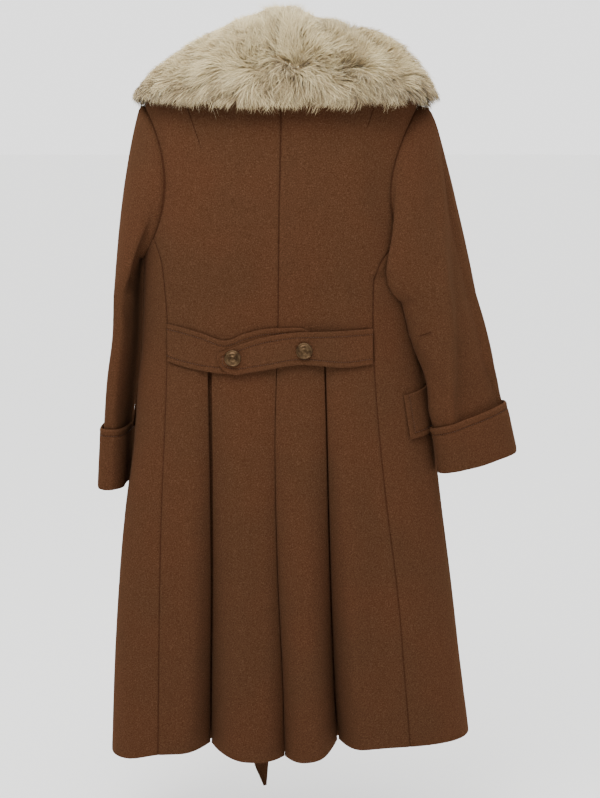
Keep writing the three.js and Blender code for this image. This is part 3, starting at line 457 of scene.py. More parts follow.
# on the back: u is x and v is z
BACK_CREASES = columns(
    "u0 v0 u1 v1 width depth",
    [
        (-150, -130, -168, -300, 26, -2.2),
        (-120, -200, -132, -455, 30, 1.6),
        (-86, -300, -92, -456, 17, -1.5),
        (-60, -345, -70, -458, 14, 1.3),
        (-35, -250, -30, -452, 22, -1.2),
        (60, -180, 70, -440, 36, -1.6),
        (108, -120, 128, -330, 24, 1.8),
        (140, -150, 150, -300, 16, -2.0),
        (100, -330, 92, -455, 18, 1.4),
        (-150, -110, 150, -118, 18, -1.2),
        (-60, -150, 70, -160, 30, 0.9),
        (-150, -500, -152, -900, 20, 2.0),
        (-60, -520, -62, -1000, 26, 2.6),
        (-36, -640, -34, -1104, 18, -2.4),
        (-84, -720, -86, -1104, 14, -1.8),
        (-150, -800, -158, -1104, 22, -3.0),
        (34, -560, 38, -1104, 22, 2.4),
        (54, -760, 60, -1104, 12, -1.6),
        (108, -540, 120, -1100, 20, 2.8),
        (132, -640, 152, -1104, 18, -2.8),
        (10, -700, 14, -1104, 11, -1.4),
        (134, -362, 158, -352, 5, -3.6),
        (136, -350, 150, -340, 7, 1.6),
    ],
)
FRONT_CREASES = columns(
    "u0 v0 u1 v1 width depth",
    [
        (-140, -160, -120, -440, 26, -2.2),
        (130, -150, 112, -440, 28, -2.4),
        (-96, -210, -84, -450, 22, 2.0),
        (88, -230, 70, -450, 24, 1.8),
        (-100, -500, -120, -1100, 30, 4.0),
        (-60, -520, -64, -1100, 24, -3.2),
        (100, -500, 118, -1100, 32, 4.0),
        (44, -540, 52, -1100, 26, -3.2),
    ],
)
SIDE_CREASES = columns(
    "u0 v0 u1 v1 width depth",
    [
        (-60, -480, -62, -1100, 26, 3.4),
        (-20, -560, -16, -1100, 20, -3.0),
        (30, -500, 34, -1100, 28, 3.2),
        (64, -640, 70, -1100, 18, -2.4),
    ],
)


def body_creases(points, angle):
    """Creases of the body in mm, by x and z on the back and the front and by y and z at the sides."""
    x, y, z = points[..., 0], points[..., 1], points[..., 2]
    facing = np.sin(angle)
    back = creased(x, z, BACK_CREASES) * smooth(facing * 2.2)
    front = creased(x, z, FRONT_CREASES) * smooth(-facing * 2.2)
    side = creased(y, z, SIDE_CREASES) * (1 - smooth(np.abs(facing) * 1.8))
    return back + front + side


print("creases on the back:", len(BACK_CREASES["u0"]))

# %% [markdown]
# ## Upper back, side and front panels
# Six long panels and the upper back shape the coat. A panel is a patch of the surface between its
# seams. Its rows are level below the armhole, follow the armhole's edge beside it, and bend up or
# down towards the neckline above it.

# %% Rows of the panels
ARM_STEPS = 24
SIDE_SEAM_STEP = 9
ARMHOLE = {
    "left": {"back": np.radians(36.5), "front": np.radians(40), "skew": 0.0},
    "right": {"back": np.radians(41), "front": np.radians(40), "skew": 0.14},
}
YOKE_BACK_Z, YOKE_FRONT_Z = -104.0, -155.0
ARM_MIDDLE, ARM_HALF = (SHOULDER_Z + ARMPIT_Z) / 2, (SHOULDER_Z - ARMPIT_Z) / 2


def arm_turn(step):
    """Turn round the armhole, from its top towards the back, at a step of ARM_STEPS."""
    return 2 * PI * step / ARM_STEPS


def armhole_level(step):
    """Level of the armhole's edge: an ellipse, so it follows the cosine of the turn."""
    return mix(ARMPIT_Z, SHOULDER_Z, (1 + np.cos(arm_turn(step))) / 2)


def armhole_edge(side, turn, inset=0.0):
    """Angle from the coat's side, reach * sin(turn) * (1 - skew * cos(turn)), and level."""
    hole = ARMHOLE[side]
    behind = np.sin(turn) > 0
    reach = np.where(behind, hole["back"], hole["front"]) - inset / ring["left"](ARM_MIDDLE)
    lean = np.where(behind, 1 - hole["skew"] * np.cos(turn), 1)
    return reach * np.sin(turn) * lean, ARM_MIDDLE + (ARM_HALF - inset) * np.cos(turn)


SEAM_TOP_Z = armhole_level(SIDE_SEAM_STEP)


def upper_rows():
    """Levels of the rows from waist to neckline: edge at the outer edge, back and front in the
    middle of the back and of the front."""
    low = np.array([WAIST_Z, -425, -390, -364, -342, -328, -314])
    step = np.arange(SIDE_SEAM_STEP, -1, -1.0)
    t = 1 - step / SIDE_SEAM_STEP
    shoulder = np.array([-92, -78, -64, -50, -36, NECK_SIDE_Z])
    s = np.arange(1, len(shoulder) + 1) / len(shoulder)

    def towards_neck(yoke_z, neck_z):
        """The same rows in the middle: up to the yoke beside the armhole, then to the neck."""
        return np.concatenate([low, mix(SEAM_TOP_Z, yoke_z, t), mix(yoke_z, neck_z, s)])

    return {
        "edge": np.concatenate([low, armhole_level(step), shoulder]),
        "back": towards_neck(YOKE_BACK_Z, NECK_BACK_Z),
        "front": towards_neck(YOKE_FRONT_Z, NECK_FRONT_Z),
    }


def finer(rows, keys, step=STEP):
    """Rows filled in so that neighbours are about a step apart, closer at the first and last."""
    gaps = np.abs(np.diff(rows["back" if "back" in rows else "edge"]))
    counts = np.maximum(1, np.round(np.maximum(gaps, np.abs(np.diff(rows["edge"]))) / step)).astype(int)
    place = np.concatenate([i + np.arange(n) / n for i, n in enumerate(counts)] + [[len(counts)]])
    first, last = 1 / max(gaps[0], 1), 1 / max(gaps[-1], 1)
    near = [0.9 * first, 2.4 * first, len(counts) - 2.4 * last, len(counts) - 0.9 * last]
    place = np.unique(np.concatenate([place, near]))
    return {k: np.interp(place, np.arange(len(rows[k])), rows[k]) for k in keys}


def outer_angle(edge, side, seam, front):
    """Angle of a row's outer edge: along the long seam, then the armhole, then the side."""
    base = PI if side == "left" else (2 * PI if front else 0.0)
    c = np.clip((edge - ARM_MIDDLE) / ARM_HALF, -1, 1)
    turn = np.arccos(c) * (-1 if front else 1)
    offset = armhole_edge(side, turn)[0]
    beside = base + (-offset if side == "left" else offset)
    long_seam = angle_at(seam(edge), edge, front)
    return np.where(edge >= SHOULDER_Z, base, np.where(edge >= SEAM_TOP_Z - 0.01, beside, long_seam))


def bend_back(angle):
    """How far the neckline has risen at an angle: 0 at the side, 1 in the middle of the back."""
    return np.maximum(0, np.sin(angle))


def bend_front(angle):
    """How far it has dropped: the cube keeps the drop near the middle of the front."""
    return np.abs(np.minimum(0, np.sin(angle))) ** 3


def bent_from(bend, outer, angle):
    """The same share, counted from the row's outer edge instead of the side."""
    return (bend(angle) - bend(outer)) / (1 - bend(outer))


def hemmed(points, level):
    """The last 160 mm follow the uneven hem."""
    lifted = points.copy()
    lifted[..., 2] += back_hem(points[..., 0]) * smooth(1 - (level - HEM_Z) / 160)
    return lifted


def seam_dip(distance, sides, depth=1.3, width=2.2):
    """Depth by which the cloth turns in at its sewn edges: depth * exp(-(d / width)^2)."""
    return sum(depth * np.exp(-((distance[side] / width) ** 2)) for side in sides)


def seam_wear(distance, sides):
    """Share of painted shade along the sewn edges, where the seam's groove is."""
    return seam_dip(distance, sides, depth=0.8, width=1.0)


def shell(name, grid, out, half=CLOTH / 2, wear_and_painted_shade=None, sharp=50, closed=False):
    """One piece of wool: the grid's wall, with the share of painted shade on both of its faces."""
    verts, faces, uv = wall(grid, out, half, closed)
    tone = None if wear_and_painted_shade is None else np.tile(np.broadcast_to(wear_and_painted_shade, grid.shape[:2]).ravel(), 2)
    return piece(name + "_cloth", verts, faces, wool, name, uv=uv, tone=tone, sharp=sharp)


def panel(name, points, angle, z, sewn):
    """A panel's wall: draws the edges in, adds creases and seam dips, paints shade along its sewn edges,
    and gives it thickness.
    """
    out = coat_out(angle, z)
    pulled = draw_in(points, SEAM_GAP / 2)
    distance = edge_distance(pulled)
    shift = body_creases(points, angle) - seam_dip(distance, sewn)
    return shell(name, pulled + out * shift[..., None], out, wear_and_painted_shade=seam_wear(distance, sewn))


SHELLS = {}


def upper_back(side):
    """From the long seam and the armhole to the centre back seam, waist to neckline."""
    rows = finer(upper_rows(), ("edge", "back"))
    outer = outer_angle(rows["edge"], side, back_seam[side], False)
    inner = angle_at(centre_line(rows["back"]) + 1e-6, rows["back"])
    c = spaced(190)[None]
    angle = mix(outer[:, None], inner[:, None], c)
    share = np.where(c == 1, 1, bent_from(bend_back, outer[:, None], angle))
    z = mix(rows["edge"][:, None], rows["back"][:, None], share)
    return panel(f"back_{side}", coat(angle, z), angle, z, ("left", "right", "low"))


for side in SIDES:
    SHELLS[f"back_{side}"] = upper_back(side)
print("upper back:", triangles["back_left_cloth"], "triangles a side")

# %% Side panels
SIDE_SPLIT = -390.0
SKIRT_LEVELS = np.array([HEM_Z, -1040, -960, -870, -770, -680, -600, -535, -490])


def side_panel(side, front):
    """Between a long seam and the side seam. Above the split the rows bend to meet the armhole."""
    low = upper_rows()["edge"][:7]
    edge = finer({"edge": np.concatenate([SKIRT_LEVELS, low, [SEAM_TOP_Z]])}, ("edge",))["edge"][:, None]
    c = spaced(75)[None]
    seam = front_seam[side] if front else back_seam[side]
    base = PI if side == "left" else (2 * PI if front else 0.0)
    turn = mix(PI, arm_turn(SIDE_SEAM_STEP), c) * (-1 if front else 1)
    hole_offset, hole_z = armhole_edge(side, turn)
    share = np.maximum(0, (edge - SIDE_SPLIT) / (SEAM_TOP_Z - SIDE_SPLIT))
    z = np.where(share > 0, mix(SIDE_SPLIT, hole_z, share), edge)
    across = mix(c, hole_offset / hole_offset[:, -1:], share)
    angle = mix(base, outer_angle(edge, side, seam, front), across)
    points = hemmed(coat(angle, z), edge)
    name = f"side_{'front' if front else 'back'}_{side}"
    return panel(name, points, angle, z, ("left", "right"))


for side in SIDES:
    for front in (False, True):
        SHELLS[f"side_{'front' if front else 'back'}_{side}"] = side_panel(side, front)
print("side panel:", triangles["side_back_left_cloth"], "triangles")

# %% Fronts
FRONT_OVERLAP = 70.0
UNDERLAP_DEPTH = 4.8


def front_panel(side):
    """From the long seam to the front edge, hem to neckline. The left one lies under the right."""
    rows = upper_rows()
    edge = np.concatenate([SKIRT_LEVELS, rows["edge"]])
    middle = np.concatenate([SKIRT_LEVELS, rows["front"]])
    rows = finer({"edge": edge, "back": middle}, ("edge", "back"))
    edge, middle = rows["edge"][:, None], rows["back"][:, None]
    outer = outer_angle(edge, side, front_seam[side], True)
    inner = angle_at(FRONT_OVERLAP if side == "left" else -FRONT_OVERLAP, middle, True)
    angle = mix(outer, inner, spaced(230)[None])
    z = mix(edge, middle, bent_from(bend_front, outer, angle))
    points = coat(angle, z)
    under = smooth((points[..., 0] + FRONT_OVERLAP + 30) / 24) * (side == "left")
    points = hemmed(points, edge) - coat_out(angle, z) * (UNDERLAP_DEPTH * under)[..., None]
    return panel(f"front_{side}", points, angle, z, ("left",))


for side in SIDES:
    SHELLS[f"front_{side}"] = front_panel(side)
print("front:", triangles["front_left_cloth"], "triangles")

# %% [markdown]
# ## Back skirt with inverted pleats
# At an inverted pleat two folded edges meet over a hidden box of cloth. Seen from above, one half of
# it is a line: along the panel, in at the mouth, back behind the panel, round, and back again. That
# line is worked out at every level, a little larger towards the hem, where the pleat opens.

# %% Pleats
PLEATS = columns(
    "mouth_top mouth_hem roll_top roll_hem roll_width reach_top reach_hem",
    [(9, 5, 2, 58, 46, 24, 36), (3.1, 3.0, 1.2, 34, 34, 18, 28), (5, 5, 2, 64, 42, 18, 32)],
)
PLEAT_ROW = {"left": 0, "centre": 1, "right": 2}
ROLL_CURVE = 2.4


def half_pleat(which, drop, width):
    """One half pleat as (across, depth) for each level. The curl is depth = roll * (1 - s)^2.4, the
    fold behind it a quarter circle, and the hidden turn half a circle."""
    size = {name: values[PLEAT_ROW[which]] for name, values in PLEATS.items()}
    drop, width = drop[:, None], width[:, None]
    mouth = mix(size["mouth_top"], size["mouth_hem"], drop) / 2
    roll = mix(size["roll_top"], size["roll_hem"], drop**1.25)
    reach = mix(size["reach_top"], size["reach_hem"], drop)
    bend, turn = mix(2.6, 6, drop), mix(2.6, 5.5, drop)
    s = (np.linspace(1, 0, 14) ** 1.25)[None]
    a = np.linspace(0, PI / 2, 5)[None]
    b = np.linspace(0, PI, 7)[None]
    start, flat = roll + 1.5, np.ones_like(mouth)
    behind = start + bend
    across = [mouth + s * (width - mouth), mouth + bend * (1 - np.cos(a)), mix(mouth + bend, reach, 0.5)]
    depth = [roll * (1 - s) ** ROLL_CURVE, start + bend * np.sin(a), behind]
    across += [reach + turn * np.sin(b), reach * 0.5, 0 * flat]
    depth += [behind + turn * (1 - np.cos(b)), behind + turn * 2, behind + turn * 2]
    return np.concatenate(across, 1), np.concatenate(depth, 1)


def back_skirt(side):
    """From the long seam to the centre back: a flat stretch, the side pleat and half the centre one."""
    towards = -1 if side == "left" else 1
    level = finer({"edge": np.concatenate([SKIRT_LEVELS, [WAIST_Z]])}, ("edge",))["edge"]
    drop = (WAIST_Z - level) / (WAIST_Z - HEM_Z)
    seam_x, mouth_x, centre_x = back_seam[side](level), pleat_line[side](level), centre_line(level)
    roll_width = PLEATS["roll_width"][PLEAT_ROW[side]]
    outer_width = np.minimum(mix(26, roll_width, drop), np.abs(seam_x - mouth_x) * 0.8)
    span = np.abs(mouth_x - centre_x)
    t = spaced(45)[None, :-1]
    flat_x = mix(seam_x[:, None], (mouth_x + towards * outer_width)[:, None], t)
    outer_t, outer_d = half_pleat(side, drop, outer_width)
    inner_t, inner_d = half_pleat(side, drop, span * 0.52)
    centre_t, centre_d = half_pleat("centre", drop, span * 0.4)
    x = [flat_x, mouth_x[:, None] + towards * outer_t, mouth_x[:, None] - towards * inner_t[:, -2::-1]]
    depth = [0 * flat_x, outer_d, inner_d[:, -2::-1]]
    x = np.concatenate(x + [centre_x[:, None] + towards * centre_t], 1)
    depth = np.concatenate(depth + [centre_d], 1)
    z = np.repeat(level[:, None], x.shape[1], 1)
    angle = angle_at(x, z)
    out = coat_out(angle, z)
    shown = smooth(1 - depth / 12)
    points = coat(angle, z) + out * (body_creases(coat(angle, z), angle) * shown - depth)[..., None]
    grid = draw_in(hemmed(points, z), SEAM_GAP / 2)
    distance = edge_distance(grid)
    grid = grid - out * (seam_dip(distance, ("left",)) * shown)[..., None]
    normal = grid_out(grid)
    normal *= np.sign(np.sum(normal[:, 2] * out[:, 2]))
    # The long seam's groove gets painted shade where it shows.
    return shell(f"back_skirt_{side}", grid, normal, wear_and_painted_shade=seam_wear(distance, ("left",)) * shown)


for side in SIDES:
    SHELLS[f"back_skirt_{side}"] = back_skirt(side)
print("back skirt:", triangles["back_skirt_left_cloth"], "triangles a side")

# %% [markdown]
# ## Sleeves
# A sleeve is a tube that starts as the armhole's own loop and becomes a flattened section that hangs
# beside the body. The left one is pressed flat against the coat and caves in below the shoulder. The
# right one swings out, folds over the back, and has a long ridge down its middle.

# %% Sleeve sections
SLEEVES = {
    "left": columns(
        "z x y across deep yaw tilt ridge",
        [
            (-388, -238, 16, 13, 74, 6, 0, 0),
            (-445, -241, 22, 13, 72, 6.5, 0, 0),
            (-520, -249.5, 27, 14.5, 70, 8, 0, 0),
            (-600, -260, 33, 14, 70, 5, 2, 0),
            (-645, -262.5, 35, 14.5, 70, 5.5, 2, 0),
            (-686, -264.5, 37, 15, 70, 6, 2, 0),
        ],
    ),
    "right": columns(
        "z x y across deep yaw tilt ridge",
        [
            (-391, 233, -28, 65, 50, 20, 4, 1.55),
            (-445, 256, -35, 58, 41, 22, 8, 1.75),
            (-500, 274, -38, 53, 34, 24, 13, 2.1),
            (-550, 281, -38, 58, 28, 25, 17, 2.35),
            (-595, 293.5, -36, 57, 28, 26, 17, 2.4),
            (-642, 303, -31, 61, 28, 26, 11, 2.45),
        ],
    ),
}
SLEEVE_SHAPE = {
    "left": {"power": 3.2, "twist": 0.0, "swell": 0.0, "bulge": 9.0, "rise": 1.0},
    "right": {"power": 2.1, "twist": 0.42, "swell": 0.22, "bulge": 12.5, "rise": 0.45},
}
# the fold below the cap: its middle and width along the turn, and how far it moves the cloth in
# and back, where less than 0 is out and forward
CAP_FOLD = {"left": (2.3, 0.55, -13, -10), "right": (2.5, 0.72, 29, 16)}
UNDERARM_BULGE = 11.0
CUFF_STAND, CUFF_CLEAR = 5.4, 8.5
sleeve_read = {
    side: {k: curve(SLEEVES[side], "z", k) for k in ("x", "y", "across", "deep", "yaw", "tilt", "ridge")}
    for side in SLEEVES
}


def clear_of_coat(p, clear):
    """Points nearer to the coat than clear are moved out along their own ray."""
    width = np.where(p[..., 0] > 0, ring["right"](p[..., 2]), ring["left"](p[..., 2])) + clear
    depth = np.where(p[..., 1] < 0, ring["back"](p[..., 2]), ring["front"](p[..., 2])) + clear
    power = ring["power"](p[..., 2])
    size = (np.abs(p[..., 0] / width) ** power + np.abs(p[..., 1] / depth) ** power) ** (1 / power)
    scale = np.where(size < 1, 1 / np.maximum(size, 1e-6), 1)
    return np.stack([p[..., 0] * scale, p[..., 1] * scale, p[..., 2]], -1)


def sleeve_point(side, z, start, stand=0.0):
    """Superellipse across * cos^(2/p), deep * sin^(2/p), turned by yaw and lifted by tilt. The fold is
    a swell of the depth, exp(-((turn - ridge) / w)^2), where w is 0.45 inside it and 0.22 outside."""
    read, shape = sleeve_read[side], SLEEVE_SHAPE[side]
    turn = start + shape["twist"]
    lateral = -1 if side == "left" else 1
    yaw, tilt = np.radians(read["yaw"](z)), np.radians(read["tilt"](z))
    c, s = np.cos(turn), np.sin(turn)
    across = (read["across"](z) + stand) * np.sign(c) * np.abs(c) ** (2 / shape["power"])
    beyond = turn - read["ridge"](z)
    fold = shape["swell"] * np.exp(-((beyond / np.where(beyond > 0, 0.45, 0.22)) ** 2))
    back = (read["deep"](z) + stand) * np.sign(s) * np.abs(s) ** (2 / shape["power"]) * (1 + fold)
    x = across * np.cos(yaw) + back * np.sin(yaw)
    y = across * np.sin(yaw) - back * np.cos(yaw)
    return np.stack([read["x"](z) + lateral * x, read["y"](z) + y, z + np.tan(tilt) * x], -1)


# u is the way round the sleeve in mm from its outer side towards the back, v is the level
SLEEVE_CREASES = {
    "left": columns(
        "u0 v0 u1 v1 width depth",
        [
            (95, -150, 120, -360, 16, -3.0),
            (60, -330, 150, -410, 12, 2.0),
            (50, -380, 140, -440, 10, -2.2),
            (-60, -350, 30, -420, 12, 2.0),
            (-90, -400, 10, -470, 12, -2.0),
            (70, -440, 76, -600, 14, 1.6),
            (-40, -200, -60, -400, 26, 2.4),
            (150, -540, 156, -610, 20, 3.5),
            (-150, -540, -156, -610, 20, 3.5),
        ],
    ),
    "right": columns(
        "u0 v0 u1 v1 width depth",
        [
            (56, -140, 84, -400, 13, 3.6),
            (30, -150, 54, -400, 15, -3.4),
            (112, -200, 118, -380, 16, -2.0),
            (120, -230, 128, -345, 17, 8.0),
            (124, -352, 138, -440, 14, -5.0),
            (64, -380, 70, -560, 15, -2.6),
            (140, -400, 96, -520, 15, 2.8),
            (150, -430, 122, -545, 15, 4.5),
            (40, -470, 100, -560, 14, 1.8),
            (160, -300, 150, -420, 16, 2.0),
            (-60, -250, -90, -470, 26, 3.0),
            (-110, -380, -40, -470, 15, -2.4),
        ],
    ),
}
ARM_TURNS = arm_turn(np.arange(0, ARM_STEPS, 0.25))
CAP_TUCK = 3.4  # depth of the sleeve's first row inside the coat
CAP_PAINTED_SHADE = 0.6  # painted shade of the armhole seam on its first two rows
RIDGE = columns("z x", [(-600, 261), (-540, 255), (-440, 252), (-330, 245), (-240, 241), (-150, 229)])


def ridge_line(grid, normal):
    """The right sleeve's long ridge: a crest of 3.5 mm on the side that faces back, beyond which the
    cloth falls away by 14 mm."""
    beyond = grid[..., 0] - curve(RIDGE, "z", "x")(grid[..., 2])
    form = 3.5 * np.exp(-((beyond / 7) ** 2)) - 14 * smooth(beyond / 26)
    return form * smooth(-normal[..., 1] * 2.5) * smooth((-130 - grid[..., 2]) / 60)


def sleeve(side):
    """Rows run from the sewn edge, tucked under the body, through the cap and down the sections."""
    lateral = -1 if side == "left" else 1
    shape, clear = SLEEVE_SHAPE[side], CLOTH + 2.6
    turn = ARM_TURNS
    inset = CLOTH / 2 + 0.9 + 1.6 * np.maximum(0, np.cos(turn)) ** 6
    offset, z = armhole_edge(side, turn, inset)
    angle = PI - offset if side == "left" else offset
    start = coat(angle, z)
    level = coat_out(angle, np.minimum(z, SHOULDER_Z - 8))
    out = unit(np.stack([level[:, 0] + lateral * 0.7, level[:, 1], 0 * z], -1))
    s = np.concatenate([[0.03, 0.07], np.linspace(0.12, 0.96, 24)])[:, None]
    top = SLEEVES[side]["z"][0]
    lifted = start + out * 7
    share = (smooth(s) * 0.4 + s * 0.6)[..., None]
    blended = mix(lifted[None], sleeve_point(side, np.full_like(turn, top), turn)[None], share)
    bulge = shape["bulge"] * np.sin(PI * s ** shape["rise"]) * np.maximum(0, np.cos(turn))
    opened = UNDERARM_BULGE * np.sin(PI * s) * np.maximum(0, -np.sin(turn))
    middle, width, over, off = CAP_FOLD[side]
    fold = np.sin(PI * s) * np.exp(-(((turn - middle) / width) ** 2))
    move = np.stack([lateral * (bulge + opened - over * fold), opened - off * fold, bulge * 0.3], -1)
    hung = clear_of_coat(blended + move, clear)
    levels = np.arange(top, SLEEVES[side]["z"][-1], -STEP)
    levels = np.append(levels, SLEEVES[side]["z"][-1])[:, None]
    low = clear_of_coat(sleeve_point(side, levels + 0 * turn, turn[None]), clear)
    under, under_z = armhole_edge(side, turn, -5.0)
    under = PI - under if side == "left" else under
    tuck = coat(under, under_z) - coat_out(under, np.minimum(under_z, SHOULDER_Z - 8)) * CAP_TUCK
    rim = np.concatenate([tuck[None], start[None] + out[None] * np.array([0, 2, 5])[:, None, None]])
    grid = draw_in(np.concatenate([rim, hung, low]), SEAM_GAP / 2, closed=True)
    normal = tube_out(grid)
    girth = np.linalg.norm(np.diff(grid[-1], axis=0), axis=-1).sum()
    u = np.where(turn > PI, turn - 2 * PI, turn) / (2 * PI) * girth
    shift = creased(np.repeat(u[None], len(grid), 0), grid[..., 2], SLEEVE_CREASES[side])
    shift += ridge_line(grid, normal) * (side == "right")
    row = np.arange(len(grid))[:, None]
    shift *= smooth(row / 6) * smooth((len(grid) - row) / 26)
    grid = clear_of_coat(grid + normal * shift[..., None], CLOTH + 1.6)
    grid[:4] = rim
    normal = tube_out(grid)
    # Painted shade along the armhole seam.
    wear_and_painted_shade = np.where(row < 2, CAP_PAINTED_SHADE, 0)
    made = shell(f"sleeve_{side}", grid, normal, wear_and_painted_shade=wear_and_painted_shade, sharp=60, closed=True)
    return made, grid + normal * CLOTH / 2


SLEEVE_FACES = {}
for side in SIDES:
    SHELLS[f"sleeve_{side}"], SLEEVE_FACES[side] = sleeve(side)
print("sleeve:", triangles["sleeve_left_cloth"], "triangles")

# %% [markdown]
# ## Turned-back cuffs
# The sleeve's end is turned up over itself. So the cuff stands outside the sleeve, its upper edge is
# a soft fold that stands proud, and its lower edge rolls in under the sleeve's end.

# %% Cuffs
CUFFS = {"left": (-598.0, -692.0), "right": (-574.0, -648.0)}
STITCH_IN = 8.5  # the rows of stitches lie this far from an edge
CUFF_HALF = 1.5  # half the thickness of the doubled cloth


def stitch_line(near, width):
    """exp(-(d / width)^2), where d is the distance from a row of stitches."""
    return np.exp(-(((near - STITCH_IN) / width) ** 2))


def cuff_surface(side, z, turn, lift=0.0):
    """The sleeve's surface moved out by the cuff's stand, clear of the coat."""
    return clear_of_coat(sleeve_point(side, z, turn, CUFF_STAND + lift), CUFF_CLEAR)


def cuff(side):
    """Rows down the cuff with a rolled fold at each end: the standing height is a quarter circle
    at the top, constant below it, and turns in under the sleeve at the end."""
    top, end = CUFFS[side]
    lip = np.linspace(0, 1, 5)[:, None]
    beside_stitches = [-4, -6.5, -7.7, -8.5, -9.3, -10.5]
    flat = np.concatenate([beside_stitches, np.linspace(-14, end + 2 - top, 12)])[:, None]
    level = np.concatenate([top + 0 * lip, top + flat, end + 1.2 - lip * 1.6])
    stand = np.concatenate([-0.6 + lip * 1.5, np.full(flat.shape, 0.6), 0.4 - lip * 4.6])
    level[:5] = top + 0.9 - 3.2 * lip**2
    turn = ARM_TURNS[None]
    grid = cuff_surface(side, level + 0 * turn, turn, stand)
    below = top - level
    groove = -0.9 * stitch_line(below, 1.5)
    ripple = 0.5 * np.sin(turn * 5 + 1.0) * smooth(below / 30)
    normal = tube_out(grid)
    grid = grid + normal * (groove + ripple)[..., None]
    # Painted shade along the row of stitches.
    wear_and_painted_shade = 0.5 * stitch_line(below, 1.0)
    return shell(f"cuff_{side}", grid, normal, CUFF_HALF, wear_and_painted_shade, sharp=70, closed=True)


for side in SIDES:
    SHELLS[f"cuff_{side}"] = cuff(side)
print("cuff:", triangles["cuff_left_cloth"], "triangles")

# %% [markdown]
# ## Half belt
# Two doubled straps are sewn into the long back seams, and the right one is buttoned over the left.
# A doubled strap has soft rounded edges, so its thickness falls to nothing over the last 2 mm, and
# it stands off the back in the middle, where the buttons pull it together.

# %% Straps
STRAP = 3.0
STRAP_WIDTH = 58  # for the grid
UNDER_STRAP = CLOTH / 2 + STRAP / 2 + 0.7
OVER_STRAP = UNDER_STRAP + STRAP + 0.7
BELT_LEFT = columns(
    "x upper lower",
    [
        (-172, -428, -486),
        (-151, -432, -492),
        (-121, -440, -498),
        (-84, -451, -502),
        (-54, -440, -500),
        (-17, -432, -493),
        (26, -431, -488),
        (40, -436, -480),
        (46, -446, -468),
    ],
)
BELT_RIGHT = columns(
    "x upper lower",
    [
        (137, -434, -489),
        (95, -436, -493),
        (28, -437, -488),
        (-17, -443, -495),
        (-47, -451, -500),
        (-69, -460, -503),
        (-84, -466, -499),
        (-92, -470, -490),
        (-96, -474, -481),
    ],
)


def belt_left_off(x):
    """Height of the left strap over the back: it bows out by 1.5 mm between its ends."""
    return UNDER_STRAP + 1.5 * np.sin(PI * (x - BELT_LEFT["x"][0]) / np.ptp(BELT_LEFT["x"]))


def belt_right_off(x):
    """Height of the right strap: it climbs over the left one on the way to the lap."""
    return UNDER_STRAP + 1.5 + (OVER_STRAP - UNDER_STRAP + 0.6) * smooth((118 - x) / 60)


def on_back(x, z, off):
    """Point at this height above the coat's back."""
    angle = angle_at(x, z)
    return coat(angle, z) + coat_out(angle, z) * np.asarray(off)[..., None]


def rounded(distance, half, radius=2.0):
    """Half thickness near an edge: a quarter circle over the last radius."""
    near = np.minimum.reduce([distance[k] for k in distance])
    t = np.clip(near / radius, 0, 1)
    return half * np.sqrt(np.clip(1 - (1 - t) ** 2, 0.02, 1))


def strap(name, table, off):
    """A doubled strap between the table's two edges, at the height off(x) over the back."""
    upper, lower = curve(table, "x", "upper"), curve(table, "x", "lower")
    start, end = table["x"][0], table["x"][-1]
    t = spaced(abs(end - start), step=4)
    t = np.sort(np.concatenate([t, 1 - np.array([0.012, 0.03, 0.05])]))[None]
    v = spaced(STRAP_WIDTH, step=2)[:, None]
    x = mix(start, end, t) + 0 * v
    z = mix(lower(x), upper(x), v)
    angle = angle_at(x, z)
    out = coat_out(angle, z)
    grid = draw_in(coat(angle, z) + out * off(x)[..., None], SEAM_GAP / 2)
    distance = edge_distance(grid)
    near = np.minimum(distance["low"], distance["high"])
    grid = grid - out * (0.7 * stitch_line(near, 1.4))[..., None]
    # The last value is painted shade along the rows of stitches.
    return shell(name, grid, out, rounded(distance, STRAP / 2), 0.4 * stitch_line(near, 1.1), sharp=70)


SHELLS["half_belt_left"] = strap("half_belt_left", BELT_LEFT, belt_left_off)
SHELLS["half_belt_right"] = strap("half_belt_right", BELT_RIGHT, belt_right_off)
print("strap:", triangles["half_belt_left_cloth"], "triangles")

# %% [markdown]
# ## Pocket flaps
# A flap covers a slanted pocket at each side. It is sewn in along its upper edge, and its lower edge
# stands a little off the skirt.

# %% Flaps
FLAPS = {
    "left": {"span": (PI + 0.05, PI + 1.0), "front": (-520, -590), "corner": 7, "stand": 4.0},
    "right": {"span": (0.7, -0.45), "front": (-516, -586), "corner": 1, "stand": 1.8},
}
FLAP_BACK = (-538, -606)  # levels of the upper and lower edge at the back end


def flap_point(side, t, v, lift=0.0):
    """t runs from the back end to the front end, v from the upper to the lower edge."""
    flap = FLAPS[side]
    angle = mix(*flap["span"], t)
    corner = flap["corner"] * np.abs(2 * t - 1) ** 10 * v
    upper, lower = (mix(FLAP_BACK[k], flap["front"][k], t) for k in range(2))
    z = mix(upper, lower + corner, v)
    off = CLOTH + 1.1 + flap["stand"] * v**1.5 + lift
    return coat(angle, z) + coat_out(angle, z) * off[..., None]


def flap(side):
    """One flap, with a groove along the stitches on its three free edges."""
    t, v = spaced(130, step=2)[None], spaced(68, step=2)[:, None]
    t, v = np.broadcast_arrays(t, v)
    grid = flap_point(side, t, v)
    out = grid_out(grid)
    out *= np.sign(np.sum(out * grid * [1, 1, 0]))
    distance = edge_distance(grid)
    near = np.minimum.reduce([distance["left"], distance["right"], distance["high"]])
    grid = grid - out * (0.6 * stitch_line(near, 1.4))[..., None]
    # The second value is painted shade along the rows of stitches.
    half, wear_and_painted_shade = rounded(distance, CLOTH / 2), 0.4 * stitch_line(near, 1.1)
    return shell(f"pocket_flap_{side}", grid, out, half, wear_and_painted_shade, sharp=70)


for side in SIDES:
    SHELLS[f"pocket_flap_{side}"] = flap(side)
print("flap:", triangles["pocket_flap_left_cloth"], "triangles")

